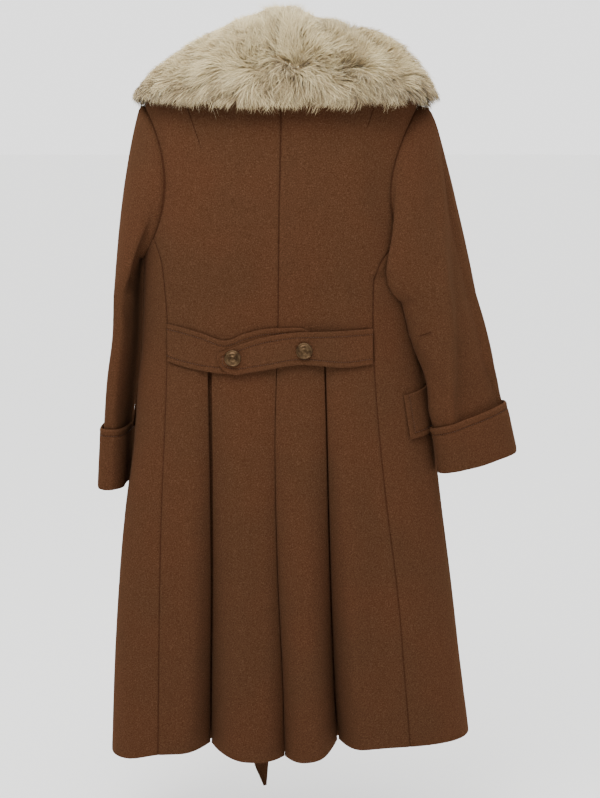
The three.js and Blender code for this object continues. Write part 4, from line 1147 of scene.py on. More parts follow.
# %% [markdown]
# ## Tie belt
# The coat closes with its own tie belt, which starts at the side seams and is knotted in front. Its
# long end hangs below the hem.

# %% Tie belt
SASH_WIDTH, SASH_Z = 48.0, -458.0
SASH_PINCHED = 26  # its width at the knot
SASH_REACH = 330  # length of the stretch from the side to the knot, for the grid
KNOT = {"x": -14.0, "z": -460.0, "width": 30.0, "height": 27.0, "depth": 13.0}


def sash_round(side):
    """The stretch round the front, from the side to the knot, narrowed and gathered at the knot."""
    sign = -1 if side == "left" else 1
    t, v = spaced(SASH_REACH)[None], spaced(SASH_WIDTH, step=4)[:, None]
    half = mix(SASH_WIDTH, SASH_PINCHED, smooth((t - 0.55) / 0.45)) / 2
    z = SASH_Z + mix(-half, half, v)
    start = PI + 0.25 if side == "left" else 2 * PI - 0.25
    angle = mix(start, angle_at(KNOT["x"] + sign * (KNOT["width"] + 1.5), z, True), t)
    off = CLOTH + 1 + 5 * smooth((t - 0.7) / 0.3) + 0 * v
    gathers = 0.8 * np.sin(v * 2 * PI * 2.5) * smooth((t - 0.5) / 0.5)
    out = coat_out(angle, z)
    grid = coat(angle, z) + out * (off + gathers)[..., None]
    return shell(f"sash_{side}", grid, out, rounded(edge_distance(grid), CLOTH / 2), sharp=70)


SASH_ENDS = {
    "long": columns(
        "z x off half turn",
        [
            (-489, -22, 9, 15, 0),
            (-540, -24, 9, 22, 6),
            (-640, -27, 8, 24, 10),
            (-800, -31, 8, 24, 14),
            (-980, -35, 9, 24, 22),
            (-1110, -38, 8, 21, 24),
            (-1196, -39, 8, 16, 28),
            (-1250, -32, 8, 3, 28),
        ],
    ),
    "short": columns(
        "z x off half turn",
        [
            (-489, 8, 13, 15, 0),
            (-540, 22, 11, 22, -4),
            (-700, 30, 10, 24, -8),
            (-860, 34, 9, 24, -10),
            (-930, 36, 10, 12, -12),
            (-938, 36, 10, 5, -12),
        ],
    ),
}


def sash_end(which):
    """A hanging strip: its middle follows the front of the skirt, and it twists by turn."""
    table = SASH_ENDS[which]
    read = {k: curve(table, "z", k) for k in ("x", "off", "half", "turn")}
    z = mix(table["z"][0], table["z"][-1], spaced(abs(table["z"][0] - table["z"][-1])))[:, None]
    side = (spaced(SASH_WIDTH, step=4) * 2 - 1)[None]
    turn = np.radians(read["turn"](z))
    front = coat(angle_at(read["x"](z), np.maximum(z, HEM_Z), True), np.maximum(z, HEM_Z))[..., 1]
    y = front + read["off"](z) + read["half"](z) * np.sin(np.abs(turn))
    fold = 0.8 * np.exp(-((side / 0.16) ** 2))
    x = read["x"](z) + side * read["half"](z) * np.cos(turn)
    y = y + side * read["half"](z) * np.sin(turn) - fold
    grid = np.stack(np.broadcast_arrays(x, y, z), -1)
    out = grid_out(grid)
    out *= np.sign(out[len(out) // 2, len(out[0]) // 2, 1])
    return shell(f"sash_end_{which}", grid, out, rounded(edge_distance(grid), CLOTH / 2), sharp=70)


for side in SIDES:
    SHELLS[f"sash_{side}"] = sash_round(side)
for which in ("long", "short"):
    SHELLS[f"sash_end_{which}"] = sash_end(which)
print("tie belt:", triangles["sash_left_cloth"], "triangles to the knot")

# %% [markdown]
# The knot is one wrapped turn of the belt over itself: a barrel with folds that run round it.

# %% Knot
def knot():
    """Barrel: radius = depth * sin(a)^0.6 along its height, with folds of 5% that run round it."""
    a = np.linspace(0, PI, 33)[:, None]
    b = np.linspace(0, 2 * PI, 49)[None, :-1]
    waves = 1 + 0.05 * np.cos(9 * a) * np.sin(a) + 0.03 * np.sin(3 * b + 2 * a)
    radius = KNOT["depth"] * np.sin(a) ** 0.6 * waves
    front = coat(angle_at(KNOT["x"], KNOT["z"], True), KNOT["z"])[1]
    x = KNOT["x"] + radius * np.cos(b) * (KNOT["width"] / KNOT["depth"] - 0.2)
    y = front + KNOT["depth"] + 4 + radius * np.sin(b)
    z = KNOT["z"] - KNOT["height"] * np.cos(a) + 0 * b
    return closed_tube("sash_knot", np.stack([x, y, z], -1), wool, "sash_knot")


def closed_tube(name, rings, material, solid):
    """Rings of points joined into a tube, each end shut by one point in its middle."""
    rows, cols = rings.shape[:2]
    ids = np.arange(rows * cols).reshape(rows, cols)
    after = np.roll(ids, -1, 1)
    sides = np.concatenate(
        [
            np.stack([ids[:-1], after[:-1], after[1:]], -1).reshape(-1, 3),
            np.stack([ids[:-1], after[1:], ids[1:]], -1).reshape(-1, 3),
        ]
    )
    ends = rows * cols + np.arange(2)
    caps = [
        np.stack([after[0], ids[0], np.full(cols, ends[0])], -1),
        np.stack([ids[-1], after[-1], np.full(cols, ends[1])], -1),
    ]
    verts = np.concatenate([rings.reshape(-1, 3), rings[:1].mean(1), rings[-1:].mean(1)])
    faces = np.concatenate([sides, *caps])
    a, b, c = (verts[faces[:, k]] for k in range(3))
    if np.sum(a * np.cross(b, c)) < 0:
        faces = faces[:, ::-1]
    return piece(name + "_form", verts, faces, material, solid, sharp=60)


SHELLS["sash_knot"] = knot()
print("knot:", triangles["sash_knot_form"], "triangles")

# %% [markdown]
# ## Buttons
# Each button is turned metal: a raised rim, a groove, and a low dome with one ring cut into it.
# The profile is carried round the axis of the button, which stands square to the belt.

# %% Button material
def button_material():
    """Brown bronze whose colour and roughness vary together with a faint noise, like brushing."""
    material, tree, shader = fresh("button_bronze")
    link = tree.links.new
    place = node(tree, "ShaderNodeTexCoord")
    wear_and_painted_shade = node(tree, "ShaderNodeTexNoise", Scale=140.0, Detail=2.0)
    browns = [(0.35, (0.040, 0.022, 0.010)), (0.5, (0.068, 0.039, 0.018)), (0.7, (0.105, 0.064, 0.031))]
    colour = ramp(tree, browns)
    rough = node(tree, "ShaderNodeMapRange")
    rough.inputs["To Min"].default_value = 0.34
    rough.inputs["To Max"].default_value = 0.5
    link(place.outputs["Object"], wear_and_painted_shade.inputs["Vector"])
    link(wear_and_painted_shade.outputs["Fac"], colour.inputs["Fac"])
    link(wear_and_painted_shade.outputs["Fac"], rough.inputs["Value"])
    link(colour.outputs["Color"], shader.inputs["Base Color"])
    link(rough.outputs["Result"], shader.inputs["Roughness"])
    shader.inputs["Metallic"].default_value = 0.9
    return material


bronze = button_material()

# %% Buttons
BUTTON_PROFILE = columns(
    "r h",
    [
        (0.01, 0),
        (3.4, 0),
        (3.4, 1.2),
        (9.6, 1.2),
        (11.6, 2.0),
        (12.3, 3.1),
        (12.1, 3.8),
        (11.3, 4.3),
        (10.5, 4.2),
        (10.0, 3.7),
        (9.3, 3.7),
        (8.6, 4.2),
        (7.2, 4.8),
        (5.6, 5.1),
        (4.9, 5.0),
        (4.5, 4.6),
        (4.1, 4.7),
        (3.6, 5.1),
        (1.8, 5.35),
        (0.01, 5.4),
    ],
)


def button(name, x, z):
    """The profile's radius is carried round the surface's outward direction, its height along it."""
    angle = angle_at(x, z)
    out = coat_out(angle, z)
    base = on_back(np.array(x), np.array(z), belt_right_off(np.array(x)) + STRAP / 2 + 0.8)
    across = unit(np.cross([0, 0, 1.0], out))
    up = np.cross(out, across)
    a = np.linspace(0, 2 * PI, 57)[None, :-1, None]
    r, h = BUTTON_PROFILE["r"][:, None, None], BUTTON_PROFILE["h"][:, None, None]
    rings = base + r * (np.cos(a) * across + np.sin(a) * up) + h * out
    return closed_tube(name, rings, bronze, name)


button("button_left", -72.0, -478.0)
button("button_right", 34.0, -466.0)
print("button:", triangles["button_left_form"], "triangles")

# %% [markdown]
# ## Stitches and pressed lines
# A row of stitches is a line of short threads, each sunk at its ends. One stitch is a long thin
# double cone, and all of a row's stitches are copies of it, placed by arrays. The darts are pressed
# lines: thin lens-shaped ridges of a darker copy of the cloth, which is painted shade of their fold.

# %% Stitches
def thread_material():
    """Brown sewing thread, a little smoother than the cloth."""
    material, tree, shader = fresh("brown_thread")
    place = node(tree, "ShaderNodeTexCoord")
    twist = node(tree, "ShaderNodeTexNoise", Scale=1800.0, Detail=1.0)
    colour = ramp(tree, [(0.3, (0.030, 0.0115, 0.0045)), (0.7, (0.060, 0.025, 0.0105))])
    tree.links.new(place.outputs["Object"], twist.inputs["Vector"])
    tree.links.new(twist.outputs["Fac"], colour.inputs["Fac"])
    tree.links.new(colour.outputs["Color"], shader.inputs["Base Color"])
    shader.inputs["Roughness"].default_value = 0.6
    return material


thread = thread_material()


STITCH_FACES = np.array(
    [[0, 2, 3], [0, 3, 4], [0, 4, 5], [0, 5, 2], [1, 3, 2], [1, 4, 3], [1, 5, 4], [1, 2, 5]]
)


def stitches(name, paths, pitch=3.6, length=3.0, radius=0.34):
    """Double cones centred a pitch apart on each path: two ends and a four-cornered middle."""
    verts, faces, base = [], [], 0
    for path in paths:
        run = np.concatenate([[0], np.cumsum(np.linalg.norm(np.diff(path, axis=0), axis=-1))])
        at = np.arange(pitch / 2, run[-1], pitch)
        centre = np.stack([np.interp(at, run, path[:, k]) for k in range(3)], -1)
        ahead = np.stack([np.interp(at + 0.5, run, path[:, k]) for k in range(3)], -1)
        way = unit(ahead - centre + 1e-6)
        side = unit(np.cross(way, [0.12, 0.35, 0.93]))
        lift = np.cross(way, side)
        middle = [side * radius, lift * radius, -side * radius, -lift * radius]
        corners = [way * length / 2, -way * length / 2, *middle]
        verts.append(np.stack([centre + c for c in corners], 1).reshape(-1, 3))
        faces.append((STITCH_FACES[None] + (base + 6 * np.arange(len(at)))[:, None, None]).reshape(-1, 3))
        base += 6 * len(at)
    return piece(name, np.concatenate(verts), np.concatenate(faces), thread, None)


def belt_path(table, off, edge, inset):
    """A line inside the strap's edge: the table's curve moved in by inset, ending before the tip."""
    read = curve(table, "x", edge)
    t = np.linspace(0, 1, 120)
    x = mix(table["x"][0], table["x"][-1] - np.sign(table["x"][-1] - table["x"][0]) * inset, t)
    z = read(x) + (inset if edge == "lower" else -inset)
    middle = (curve(table, "x", "upper")(x) + curve(table, "x", "lower")(x)) / 2
    z = np.maximum(z, middle) if edge == "upper" else np.minimum(z, middle)
    return on_back(x, z, off(x) + STRAP / 2 - 0.1)


def along_belt(table, off):
    """One row of stitches out along the strap's upper edge and back along its lower edge."""
    upper = belt_path(table, off, "upper", STITCH_IN)
    lower = belt_path(table, off, "lower", STITCH_IN)
    return [np.concatenate([upper, lower[::-1]])]


for name, table, off in (("left", BELT_LEFT, belt_left_off), ("right", BELT_RIGHT, belt_right_off)):
    stitches(f"half_belt_{name}_stitches", along_belt(table, off))

around = np.linspace(0, 2 * PI, 200)
for side in SIDES:
    level = CUFFS[side][0] - STITCH_IN + 0 * around
    stitches(f"cuff_{side}_stitches", [cuff_surface(side, level, around, 0.6 + 1.2)])
    t = np.concatenate([np.full(20, 0.065), np.linspace(0.065, 0.935, 60), np.full(20, 0.935)])
    v = np.concatenate([np.linspace(0.02, 0.87, 20), np.full(60, 0.87), np.linspace(0.87, 0.02, 20)])
    stitches(f"pocket_flap_{side}_stitches", [flap_point(side, t, v, CLOTH / 2 - 0.1)])
print("stitches:", sum(n for name, n in triangles.items() if "stitches" in name), "triangles")

# %% [markdown]
# ## Darts
# Each shoulder has a short dart that shows below the fur, and the right sleeve one at the elbow.

# %% Darts
def pressed_line(name, path, out, width=1.3, height=0.55):
    """Thin lens along a path: width tapers to nothing at both ends. It is made of the darker wool, which
    is painted shade of the dart's groove.
    """
    t = np.linspace(0, 1, len(path))
    half = width / 2 * np.sin(PI * np.clip(t, 0.02, 0.98)) ** 0.4
    way = unit(np.gradient(path, axis=0))
    side = np.cross(way, out)
    a = np.linspace(0, 2 * PI, 7)[None, :-1, None]
    rings = path[:, None] + half[:, None, None] * np.cos(a) * side[:, None]
    rings = rings + height / 2 * np.sin(a) * out[:, None]
    return closed_tube(name, rings, wool_painted_shade, None)


SHOULDER_DART = {"x": (143.0, 117.0), "z": (-92.0, -166.0)}  # its upper and lower end


def shoulder_dart(side):
    """Slanted line from under the fur down the upper back."""
    sign = -1 if side == "left" else 1
    t = np.linspace(0, 1, 14)
    x, z = sign * mix(*SHOULDER_DART["x"], t) - (side == "right"), mix(*SHOULDER_DART["z"], t)
    angle = angle_at(x, z)
    out = coat_out(angle, z)
    return pressed_line(f"shoulder_dart_{side}", coat(angle, z) + out * (CLOTH / 2 + 0.05), out)


def elbow_dart():
    """Short line across the inner side of the right sleeve, on the nearest points of its face."""
    face = SLEEVE_FACES["right"].reshape(-1, 3)
    t = np.linspace(0, 1, 9)[:, None]
    aim = mix(np.array([206.0, -447.0]), np.array([226.0, -439.0]), t)
    behind = face[face[:, 1] < -30]
    far = np.linalg.norm(behind[None][..., [0, 2]] - aim[:, None], axis=-1)
    nearest = np.where(far < far.min(1, keepdims=True) + 3, behind[None, :, 1], 1e3).min(1)
    depth = np.convolve(np.pad(nearest, 2, "edge"), np.full(5, 0.2), "valid")
    path = np.stack([aim[:, 0], depth - 0.9, aim[:, 1]], -1)
    out = np.repeat(unit(np.array([[-0.25, -0.97, 0.0]])), len(path), 0)
    return pressed_line("elbow_dart", path, out)


for side in SIDES:
    shoulder_dart(side)
elbow_dart()
print("darts: 2 at the shoulders, 1 at the elbow")

# %% [markdown]
# ## Fur collar
# Long fur lies in tufts that sweep away from a few whorls. A smooth core holds the volume, and over
# it lie thin ribbons, one for each visible lock of hair, 25 to 45 mm long. Ribbons of mesh are used,
# since they keep their shape in every tool. The collar is described by two numbers, the turn round
# the neck and the place from its lower edge up to its crest, and by a swell from the core (0) to the
# outline of the fur (1). A strand is a short path through those three numbers, so it always
# follows the collar's form.

# %% Collar form
COLLAR = columns(
    "turn thick fall stand",
    [
        (-1.0, 24, -255, 12),
        (-0.93, 30, -244, 18),
        (-0.85, 34, -207, 24),
        (-0.77, 36, -158, 27),
        (-0.69, 37, -117, 29),
        (-0.6, 37, -96, 30),
        (-0.5, 35, -93, 31),
        (-0.34, 41, -94, 32),
        (-0.12, 44, -97, 39),
        (0.0, 45, -98, 46),
        (0.12, 46, -97, 39),
        (0.34, 52, -95, 33),
        (0.5, 57, -93, 28),
        (0.6, 50, -96, 31),
        (0.69, 42, -117, 29),
        (0.77, 37, -158, 27),
        (0.85, 34, -207, 24),
        (0.93, 30, -244, 18),
        (1.0, 24, -255, 12),
    ],
)
collar_read = {k: curve(COLLAR, "turn", k) for k in ("thick", "fall", "stand")}


def neckline_z(angle):
    """Level of the neck seam: highest at the back, lowest in front."""
    return mix(mix(NECK_SIDE_Z, NECK_BACK_Z, bend_back(angle)), NECK_FRONT_Z, bend_front(angle))


# Places down the face of the collar, and the share of the fur's depth there.
FACE = [(0.98, 0.6), (0.8, 0.84), (0.6, 1), (0.4, 1), (0.2, 1), (0.0, 1)]


def collar_profile(turn, swell):
    """Points of one section from the lower edge, up the face, over the crest and into the neck, for
    an array of turns. The height over the coat is thick * swell."""
    angle = PI / 2 - turn * (PI - 0.1)
    thick, fall, stand = (collar_read[k](turn) for k in ("thick", "fall", "stand"))
    neck_z = neckline_z(angle)
    seam = coat(angle, neck_z)
    inward = unit(seam * [-1, -1, 0])

    def lying(t, height):
        """Point on the coat at a share t of the way down, lifted by height."""
        z = mix(neck_z - 4, fall, t)
        ease = 6 * np.exp(-(((z + 103) / 26) ** 2))
        return coat(angle, z, 2) + coat_out(angle, z) * (5.5 + ease + height)[..., None]

    def moved(point, out, up):
        """The point moved away from the neck and up."""
        return point - inward * (out * thick * swell)[..., None] + [0, 0, 1] * up[..., None]

    def hung(out, down):
        """Point below the lower edge."""
        return moved(lying(1.0, 0 * thick), out, -down * thick)

    def crest(out, up):
        """Point above the neck seam."""
        return moved(seam, out, up * stand * mix(0.72, 1, swell))

    face = [lying(t, thick * swell * share) for t, share in FACE]
    rim = 0.1 if swell > 0.9 else -0.1
    points = [hung(0.62, rim), *face, crest(0.45, 0.9), crest(0.1, 1.0)]
    points += [seam + inward * 6 + [0, 0, 1] * (stand * 0.7)[..., None], seam + inward * 7 + [0, 0, 6]]
    return np.stack(points, 1)


TURNS = np.linspace(-1, 1, 181)
PLACES = 61


def along_section(points, count):
    """The section's points joined by a smooth curve, at even distances along it."""
    run = np.linalg.norm(np.diff(points, axis=1), axis=-1).cumsum(1)
    run = np.concatenate([np.zeros((len(points), 1)), run], 1) / run[:, -1:]
    even = np.linspace(0, 1, count)
    sampled = np.stack(
        [np.stack([np.interp(even, r, p[:, k]) for k in range(3)], -1) for r, p in zip(run, points)]
    )
    for _ in range(3):
        sampled[:, 1:-1] = (sampled[:, :-2] + 2 * sampled[:, 1:-1] + sampled[:, 2:]) / 4
    return sampled


CORE = along_section(collar_profile(TURNS, 0.45), PLACES)
OUTLINE = along_section(collar_profile(TURNS, 1.0), PLACES)
corners = [np.round(f(OUTLINE.reshape(-1, 3), axis=0)) for f in (np.min, np.max)]
print("collar outline:", *corners)

# %% Fur material
def fur_material(name, dark, light):
    """Colour by the strand's own tone, from its shaded root to its pale tip, with a soft sheen."""
    material, tree, shader = fresh(name)
    link = tree.links.new
    tone = node(tree, "ShaderNodeAttribute", attribute_name="tone")
    between = [(0.35, (0.41, 0.305, 0.155)), (0.65, (0.65, 0.535, 0.295))]
    colour = ramp(tree, [(0.0, dark), *between, (1.0, light)])
    link(tone.outputs["Fac"], colour.inputs["Fac"])
    link(colour.outputs["Color"], shader.inputs["Base Color"])
    shader.inputs["Roughness"].default_value = 0.55
    shader.inputs["Specular IOR Level"].default_value = 0.3
    shader.inputs["Sheen Weight"].default_value = 0.3
    return material


fur = fur_material("fox_fur", (0.13, 0.088, 0.044), (0.83, 0.73, 0.45))

# %% Collar core
def collar_core():
    """The core's sections closed into one solid, their ends drawn together by a last small ring."""
    inner = collar_profile(TURNS, 0.45)
    ring_points = np.concatenate([CORE, inner[:, -1:] - [0, 0, 6.0]], 1)
    angle = PI / 2 - TURNS * (PI - 0.1)
    neck_z, fall = neckline_z(angle), collar_read["fall"](TURNS)
    back = []
    for t in (0.0, 0.25, 0.5, 0.75, 0.93):
        z = mix(neck_z - 4, fall, t)
        ease = 6 * np.exp(-(((z + 103) / 26) ** 2))
        back.append(coat(angle, z, 2) + coat_out(angle, z) * (5.5 + ease)[:, None])
    rings = np.concatenate([ring_points[:, :-1], np.stack(back, 1)], 1)
    row = np.interp(np.arange(rings.shape[1]), [0, 12, 24], [0.02, 0.1, 0.42])
    tone = np.append(np.tile(row, len(rings)), [0.3, 0.3])
    made = closed_tube("collar_core", rings, fur, "fur_collar")
    made.data.attributes.new("tone", "FLOAT", "POINT").data.foreach_set("value", tone.astype(np.float32))
    return made


collar_core()
print("core:", triangles["collar_core_form"], "triangles")

# %% Strands
WHORLS = columns(
    "x z weight",
    [(26, -44, 1.0), (138, -53, 0.7), (-57, -44, 0.45)]
    + [(-150, -62, 0.3), (84, -58, 0.25), (-14, -64, 0.25)],
)
STRANDS = 116000
rng = np.random.default_rng(7)


def look_up(table, turn, place):
    """Bilinear reading of a table of points by turn and place."""
    i = np.clip((turn + 1) / 2 * (len(TURNS) - 1), 0, len(TURNS) - 1.001)
    j = np.clip(place * (PLACES - 1), 0, PLACES - 1.001)
    a, b = i.astype(int), j.astype(int)
    s, t = (i - a)[..., None], (j - b)[..., None]
    return (
        table[a, b] * (1 - s) * (1 - t)
        + table[a + 1, b] * s * (1 - t)
        + table[a, b + 1] * (1 - s) * t
        + table[a + 1, b + 1] * s * t
    )


def flow(turn, place):
    """Direction of the hair on the collar's surface, and how upright it stands. Seen from behind it
    points away from the whorls, up above them and down below them. On the front it only falls."""
    here = look_up(OUTLINE, turn, place)
    way, nearest = np.zeros_like(here), np.full(here[..., :1].shape, 1e3)
    for x, z, weight in zip(WHORLS["x"], WHORLS["z"], WHORLS["weight"]):
        away = np.stack([here[..., 0] - x, 0 * here[..., 0], (here[..., 2] - z) * 1.7], -1)
        far = np.linalg.norm(away, axis=-1, keepdims=True)
        way += weight * away / (far + 16) / (far / 70 + 0.5)
        nearest = np.minimum(nearest, far)
    size = np.linalg.norm(way, axis=-1, keepdims=True)
    across = np.sin(here[..., 2] / 9 + here[..., 0] / 23)
    stir = np.stack([across, 0 * across, np.sin(here[..., 0] / 13)], -1)
    way = way / np.maximum(size, 0.9) * mix(0.3, 1, smooth(nearest / 45)) + 0.32 * stir + [0, 0, -0.1]
    low = np.clip((-62 - here[..., 2]) / 34, 0, 1)[..., None]
    way = mix(way, way * [0.5, 0, 0.2] + [0, 0, -1.0], low)
    front = smooth((here[..., 1] + 40) / 60)[..., None]
    fall = np.stack([0.2 * np.sign(here[..., 0]), 0 * here[..., 0], -1 + 0 * here[..., 0]], -1)
    way = mix(way, fall, front)
    way = way / np.maximum(np.linalg.norm(way, axis=-1, keepdims=True), 1)
    step = 0.01
    by_turn = (look_up(OUTLINE, turn + step, place) - look_up(OUTLINE, turn - step, place)) / (2 * step)
    by_place = (look_up(OUTLINE, turn, place + step) - look_up(OUTLINE, turn, place - step)) / (2 * step)
    out = unit(look_up(OUTLINE, turn, place) - look_up(CORE, turn, place))
    flat = way - out * np.sum(way * out, -1, keepdims=True)
    return (
        np.sum(flat * by_turn, -1) / np.maximum(np.sum(by_turn**2, -1), 1),
        np.sum(flat * by_place, -1) / np.maximum(np.sum(by_place**2, -1), 1),
        flat,
        (1 - smooth(nearest[..., 0] / 55)) * (1 - front[..., 0]),
    )


TURN_MM, PLACE_MM = 450.0, 185.0  # one unit of turn and of place, in millimetres of fur


def tufts(turn, place, size, seed):
    """Each strand belongs to the tuft of its own cell of a warped grid, size in turns."""
    warp_turn = turn + 0.006 * np.sin(place * 61 + turn * 23)
    warp_place = place + 0.02 * np.sin(turn * 71 + place * 17)
    tall = size * TURN_MM / PLACE_MM
    i = np.floor(warp_turn / size).astype(int)
    j = np.floor(warp_place / tall).astype(int)
    key = (i * 7919 + j * 104729) % 99991
    jitter = np.random.default_rng(seed).random((99991, 5))[key]
    middle_turn = (i + 0.1 + 0.8 * jitter[:, 0]) * size
    middle_place = (j + 0.1 + 0.8 * jitter[:, 1]) * tall
    return np.clip(middle_turn, -1, 1), np.clip(middle_place, 0.0, 0.98), jitter[:, 2:]


def turned(along, up, bend):
    """The pair turned in its own plane by an angle."""
    return along * np.cos(bend) - up * np.sin(bend), along * np.sin(bend) + up * np.cos(bend)


def strands(count):
    """Paths of all strands as points (count, 4, 3), with tones and widths. One path follows the
    collar's surface, the other leaves it straight, and each strand lies between the two."""
    turn = rng.uniform(-1, 1, count)
    place = rng.uniform(0.0, 0.95, count)
    tuft_turn, tuft_place, luck = tufts(turn, place, 0.038, 3)
    lock_turn, lock_place, chance = tufts(turn, place, 0.013, 5)
    length = (27 + 15 * luck[:, 0] + 6 * chance[:, 0]) * rng.uniform(0.7, 1.15, count)
    fringe = smooth((0.3 - place) / 0.3)
    length = np.where(np.abs(turn) > 0.9, length * 0.7, length) * (1 - 0.5 * fringe)
    middle_turn, middle_place = mix(tuft_turn, lock_turn, 0.5), mix(tuft_place, lock_place, 0.5)
    step_turn, step_place, flat, upright = flow(middle_turn, middle_place)
    bend = (luck[:, 1] - 0.5) * 1.3 + (chance[:, 1] - 0.5) * 0.7
    bend = bend + rng.normal(0, 0.16, count) * (1 + 4 * upright)
    sideways, upward = turned(step_turn * TURN_MM, step_place * PLACE_MM, bend)
    step_turn, step_place = sideways / TURN_MM, upward / PLACE_MM
    pull = rng.uniform(0.2, 0.5, count) * (1 - 0.8 * upright) + 0.25 * fringe
    draw = rng.uniform(0.3, 0.75, count) * (1 - 0.5 * upright)
    tip_turn = mix(mix(turn, lock_turn, draw), tuft_turn, pull) + step_turn * length
    tip_place = mix(mix(place, lock_place, draw), tuft_place, pull) + step_place * length
    rise = rng.uniform(0.62, 1.06, count) + 0.3 * (luck[:, 2] - 0.5) + 0.14 * (chance[:, 2] - 0.5)
    t = np.array([0, 0.34, 0.7, 1.0])[None]
    way = t**1.15
    turns = np.clip(mix(turn[:, None], tip_turn[:, None], way), -1, 1)
    places = mix(place[:, None], tip_place[:, None], way)
    swell = -0.2 + (rise[:, None] + 0.2) * np.sin(t * PI / 2) ** 0.85
    on = np.clip(places, 0, 1)
    points = mix(look_up(CORE, turns, on), look_up(OUTLINE, turns, on), swell[..., None])
    points[..., 2] += np.minimum(places, 0) * PLACE_MM + np.maximum(places - 1, 0) * 60
    root, out = look_up(CORE, turn, place), look_up(OUTLINE, turn, place)
    across = unit(np.cross(out - root, flat) + 1e-6)
    lean = flat + across * (np.tan(np.clip(bend, -1, 1)) * np.linalg.norm(flat, axis=-1))[:, None]
    straight = mix(root[:, None], out[:, None], swell[..., None])
    straight = straight + lean[:, None] * (length[:, None] * way)[..., None]
    straight[..., 2] -= 4 * t**2
    stray = rng.uniform(0.25, 0.95, count) * smooth((tip_place + 0.4) / 0.5)
    points = mix(points, straight, stray[:, None, None])
    points += rng.normal(0, 1.0, points.shape) * t[..., None]
    # The lower fringe is darker and more uneven: painted shade under the collar and between its locks.
    tone = 0.36 + 0.22 * upright - 0.28 * fringe + rng.normal(0, 0.12, count) * (1 + 0.9 * fringe)
    tone += 0.26 * (luck[:, 0] - 0.5) + 0.26 * (chance[:, 0] - 0.5)
    tones = tone[:, None] + np.array([-0.34, -0.06, 0.2, 0.42])[None] * (1 - 0.75 * upright)[:, None]
    width = rng.uniform(0.5, 0.95, count)
    return points, np.clip(tones, 0, 1), width


def ribbons(points, tones, width, name):
    """Ribbon of five triangles for each path. Its width lies across the path and along the fur's
    surface, so its face looks out of the collar."""
    count = len(points)
    way = unit(np.gradient(points, axis=1))
    away = unit(points - [0, 0, -60.0])
    away = unit(away + rng.normal(0, 0.35, (count, 1, 3)))
    side = unit(np.cross(way, away))
    half = width[:, None, None] / 2 * np.array([1.0, 0.9, 0.6])[None, :, None]
    left = points[:, :3] + side[:, :3] * half
    right = points[:, :3] - side[:, :3] * half
    pairs = [side_points[:, k] for k in range(3) for side_points in (left, right)]
    verts = np.stack([*pairs, points[:, 3]], 1)
    one = np.array([[0, 1, 3], [0, 3, 2], [2, 3, 5], [2, 5, 4], [4, 5, 6]])
    faces = (one[None] + 7 * np.arange(count)[:, None, None]).reshape(-1, 3)
    tone = tones[:, [0, 0, 1, 1, 2, 2, 3]]
    return piece(name, verts.reshape(-1, 3), faces, fur, "fur_collar", tone=tone.ravel())


paths, tones, widths = strands(STRANDS)
order = np.argsort(paths[:, 0, 0])
for k, part in enumerate(np.array_split(order, 4)):
    ribbons(paths[part], tones[part], widths[part], f"fur_strands_{k + 1}")
print("fur:", sum(n for name, n in triangles.items() if "fur_strands" in name), "triangles")

# %% [markdown]
# ## Cut sizes of the cloth
# The size that each sheet of cloth was cut to is printed, with the area of its shell.

# %% Sheets
# cut size before sewing, in metres, the way it is held, and what it hangs from or lies on
CUTS = [
    ("back_{}", 0.22, 0.46, "hung", "fur_collar"),
    ("side_back_{}", 0.18, 0.81, "hung", "back_{}"),
    ("side_front_{}", 0.19, 0.81, "hung", "front_{}"),
    ("front_{}", 0.33, 1.09, "hung", "fur_collar"),
    ("back_skirt_{}", 0.52, 0.66, "hung", "back_{}"),
    ("sleeve_{}", 0.40, 0.60, "hung", "back_{}"),
    ("cuff_{}", 0.40, 0.105, "folded", "sleeve_{}"),
    ("half_belt_{}", 0.065, 0.245, "laid", "back_{}"),
    ("pocket_flap_{}", 0.075, 0.165, "hung", "side_back_{}"),
    ("sash_{}", 0.05, 0.26, "gathered", "front_{}"),
]


def cloth_area(obj):
    """Area of the middle surface in square metres: half of both faces and the rims."""
    area = np.zeros(len(obj.data.polygons))
    obj.data.polygons.foreach_get("area", area)
    return float(area.sum() / 2)


def declare(name, width, length):
    """States the cut's width and length. The flat area is measured on the shell itself, at most
    width * length, so a stretch of the cloth can't show in it."""
    area = min(cloth_area(SHELLS[name]), width * length)
    print(f"{name}: {width:.3f} x {length:.3f} m, {area:.4f} m2")


for name, width, length, held, above in CUTS:
    for side in SIDES:
        declare(name.format(side), width, length)
declare("sash_end_long", 0.05, 0.78)
declare("sash_end_short", 0.05, 0.46)

# %% [markdown]
# ## Stage
# A plain pale floor and world, a broad soft light from above the camera, and the camera itself.

# %% Floor, light and camera
def floor():
    """A square far larger than the view, below the longest end of the belt."""
    size, height = 60.0, -1.3
    verts = [(x * size, y * size, height) for x, y in ((-1, -1), (1, -1), (1, 1), (-1, 1))]
    mesh = bpy.data.meshes.new("floor")
    mesh.from_pydata(verts, [], [[0, 1, 2, 3]])
    material, _, shader = fresh("pale_floor")
    shader.inputs["Base Color"].default_value = (0.86, 0.86, 0.85, 1)
    shader.inputs["Roughness"].default_value = 0.9
    mesh.materials.append(material)
    obj = bpy.data.objects.new("floor", mesh)
    bpy.context.scene.collection.objects.link(obj)


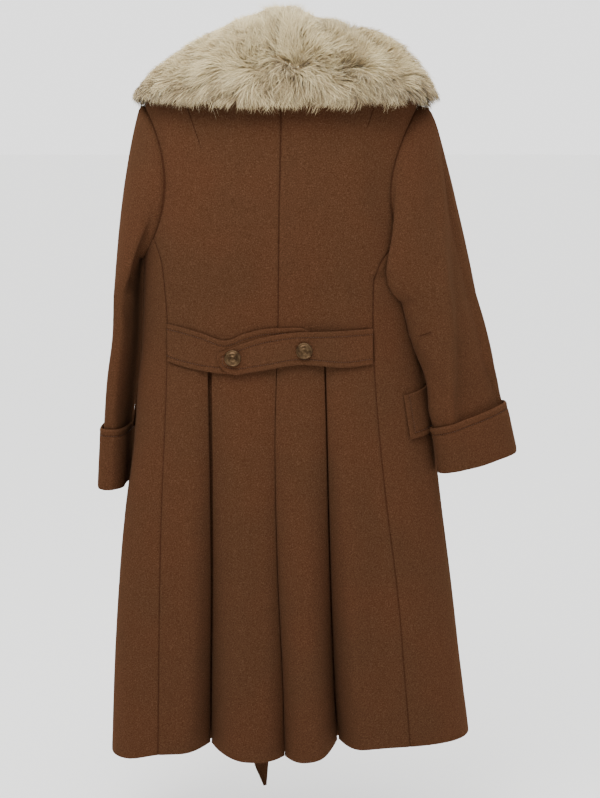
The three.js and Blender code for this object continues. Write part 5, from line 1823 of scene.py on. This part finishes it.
def soft_light(name, place, aim, size, power):
    """Square area light that looks from its place to its aim."""
    light = bpy.data.lights.new(name, "AREA")
    light.size, light.energy = size, power
    obj = bpy.data.objects.new(name, light)
    obj.location = place
    obj.rotation_euler = (Vector(aim) - Vector(place)).to_track_quat("-Z", "Y").to_euler()
    bpy.context.scene.collection.objects.link(obj)


floor()
soft_light("key", (-0.45, -1.15, 0.95), (0, 0, -0.12), 1.0, 32)
soft_light("fill", (1.4, -2.2, 1.3), (0, 0, -0.1), 1.6, 9)

world = bpy.data.worlds.new("pale_world")
world.use_nodes = True
sky = world.node_tree
direction = node(sky, "ShaderNodeTexCoord")
parts = node(sky, "ShaderNodeSeparateXYZ")
sky.links.new(direction.outputs["Generated"], parts.inputs["Vector"])


def sky_range(axis, start, end, dim, bright):
    """Strength of the sky along one axis: dim up to start, bright from end on."""
    made = node(sky, "ShaderNodeMapRange", interpolation_type="SMOOTHSTEP")
    for socket, value in zip(("From Min", "From Max", "To Min", "To Max"), (start, end, dim, bright)):
        made.inputs[socket].default_value = value
    sky.links.new(parts.outputs[axis], made.inputs["Value"])
    return made.outputs["Result"]


total = node(sky, "ShaderNodeMath", operation="ADD")
sky.links.new(sky_range("Y", 0.0, 0.7, 0.33, 2.1), total.inputs[0])
sky.links.new(sky_range("Z", 0.6, 1.0, 0.0, 4.0), total.inputs[1])
sky.links.new(total.outputs["Value"], sky.nodes["Background"].inputs["Strength"])
sky.nodes["Background"].inputs["Color"].default_value = (1, 1, 1, 1)
bpy.context.scene.world = world

CAMERA_PLACE = (0.028, -2.5, -0.13)
CAMERA_DOWN = np.radians(9.648)  # it looks down a little
LENS, SENSOR = 73.08, 36
camera_data = bpy.data.cameras.new("camera")
camera_data.lens, camera_data.sensor_width = LENS, SENSOR
camera = bpy.data.objects.new("camera", camera_data)
camera.location = CAMERA_PLACE
camera.rotation_euler = (PI / 2 - CAMERA_DOWN, 0, 0)
bpy.context.scene.collection.objects.link(camera)
bpy.context.scene.camera = camera

# %% Sizes at the end
print("triangles in all:", sum(triangles.values()))
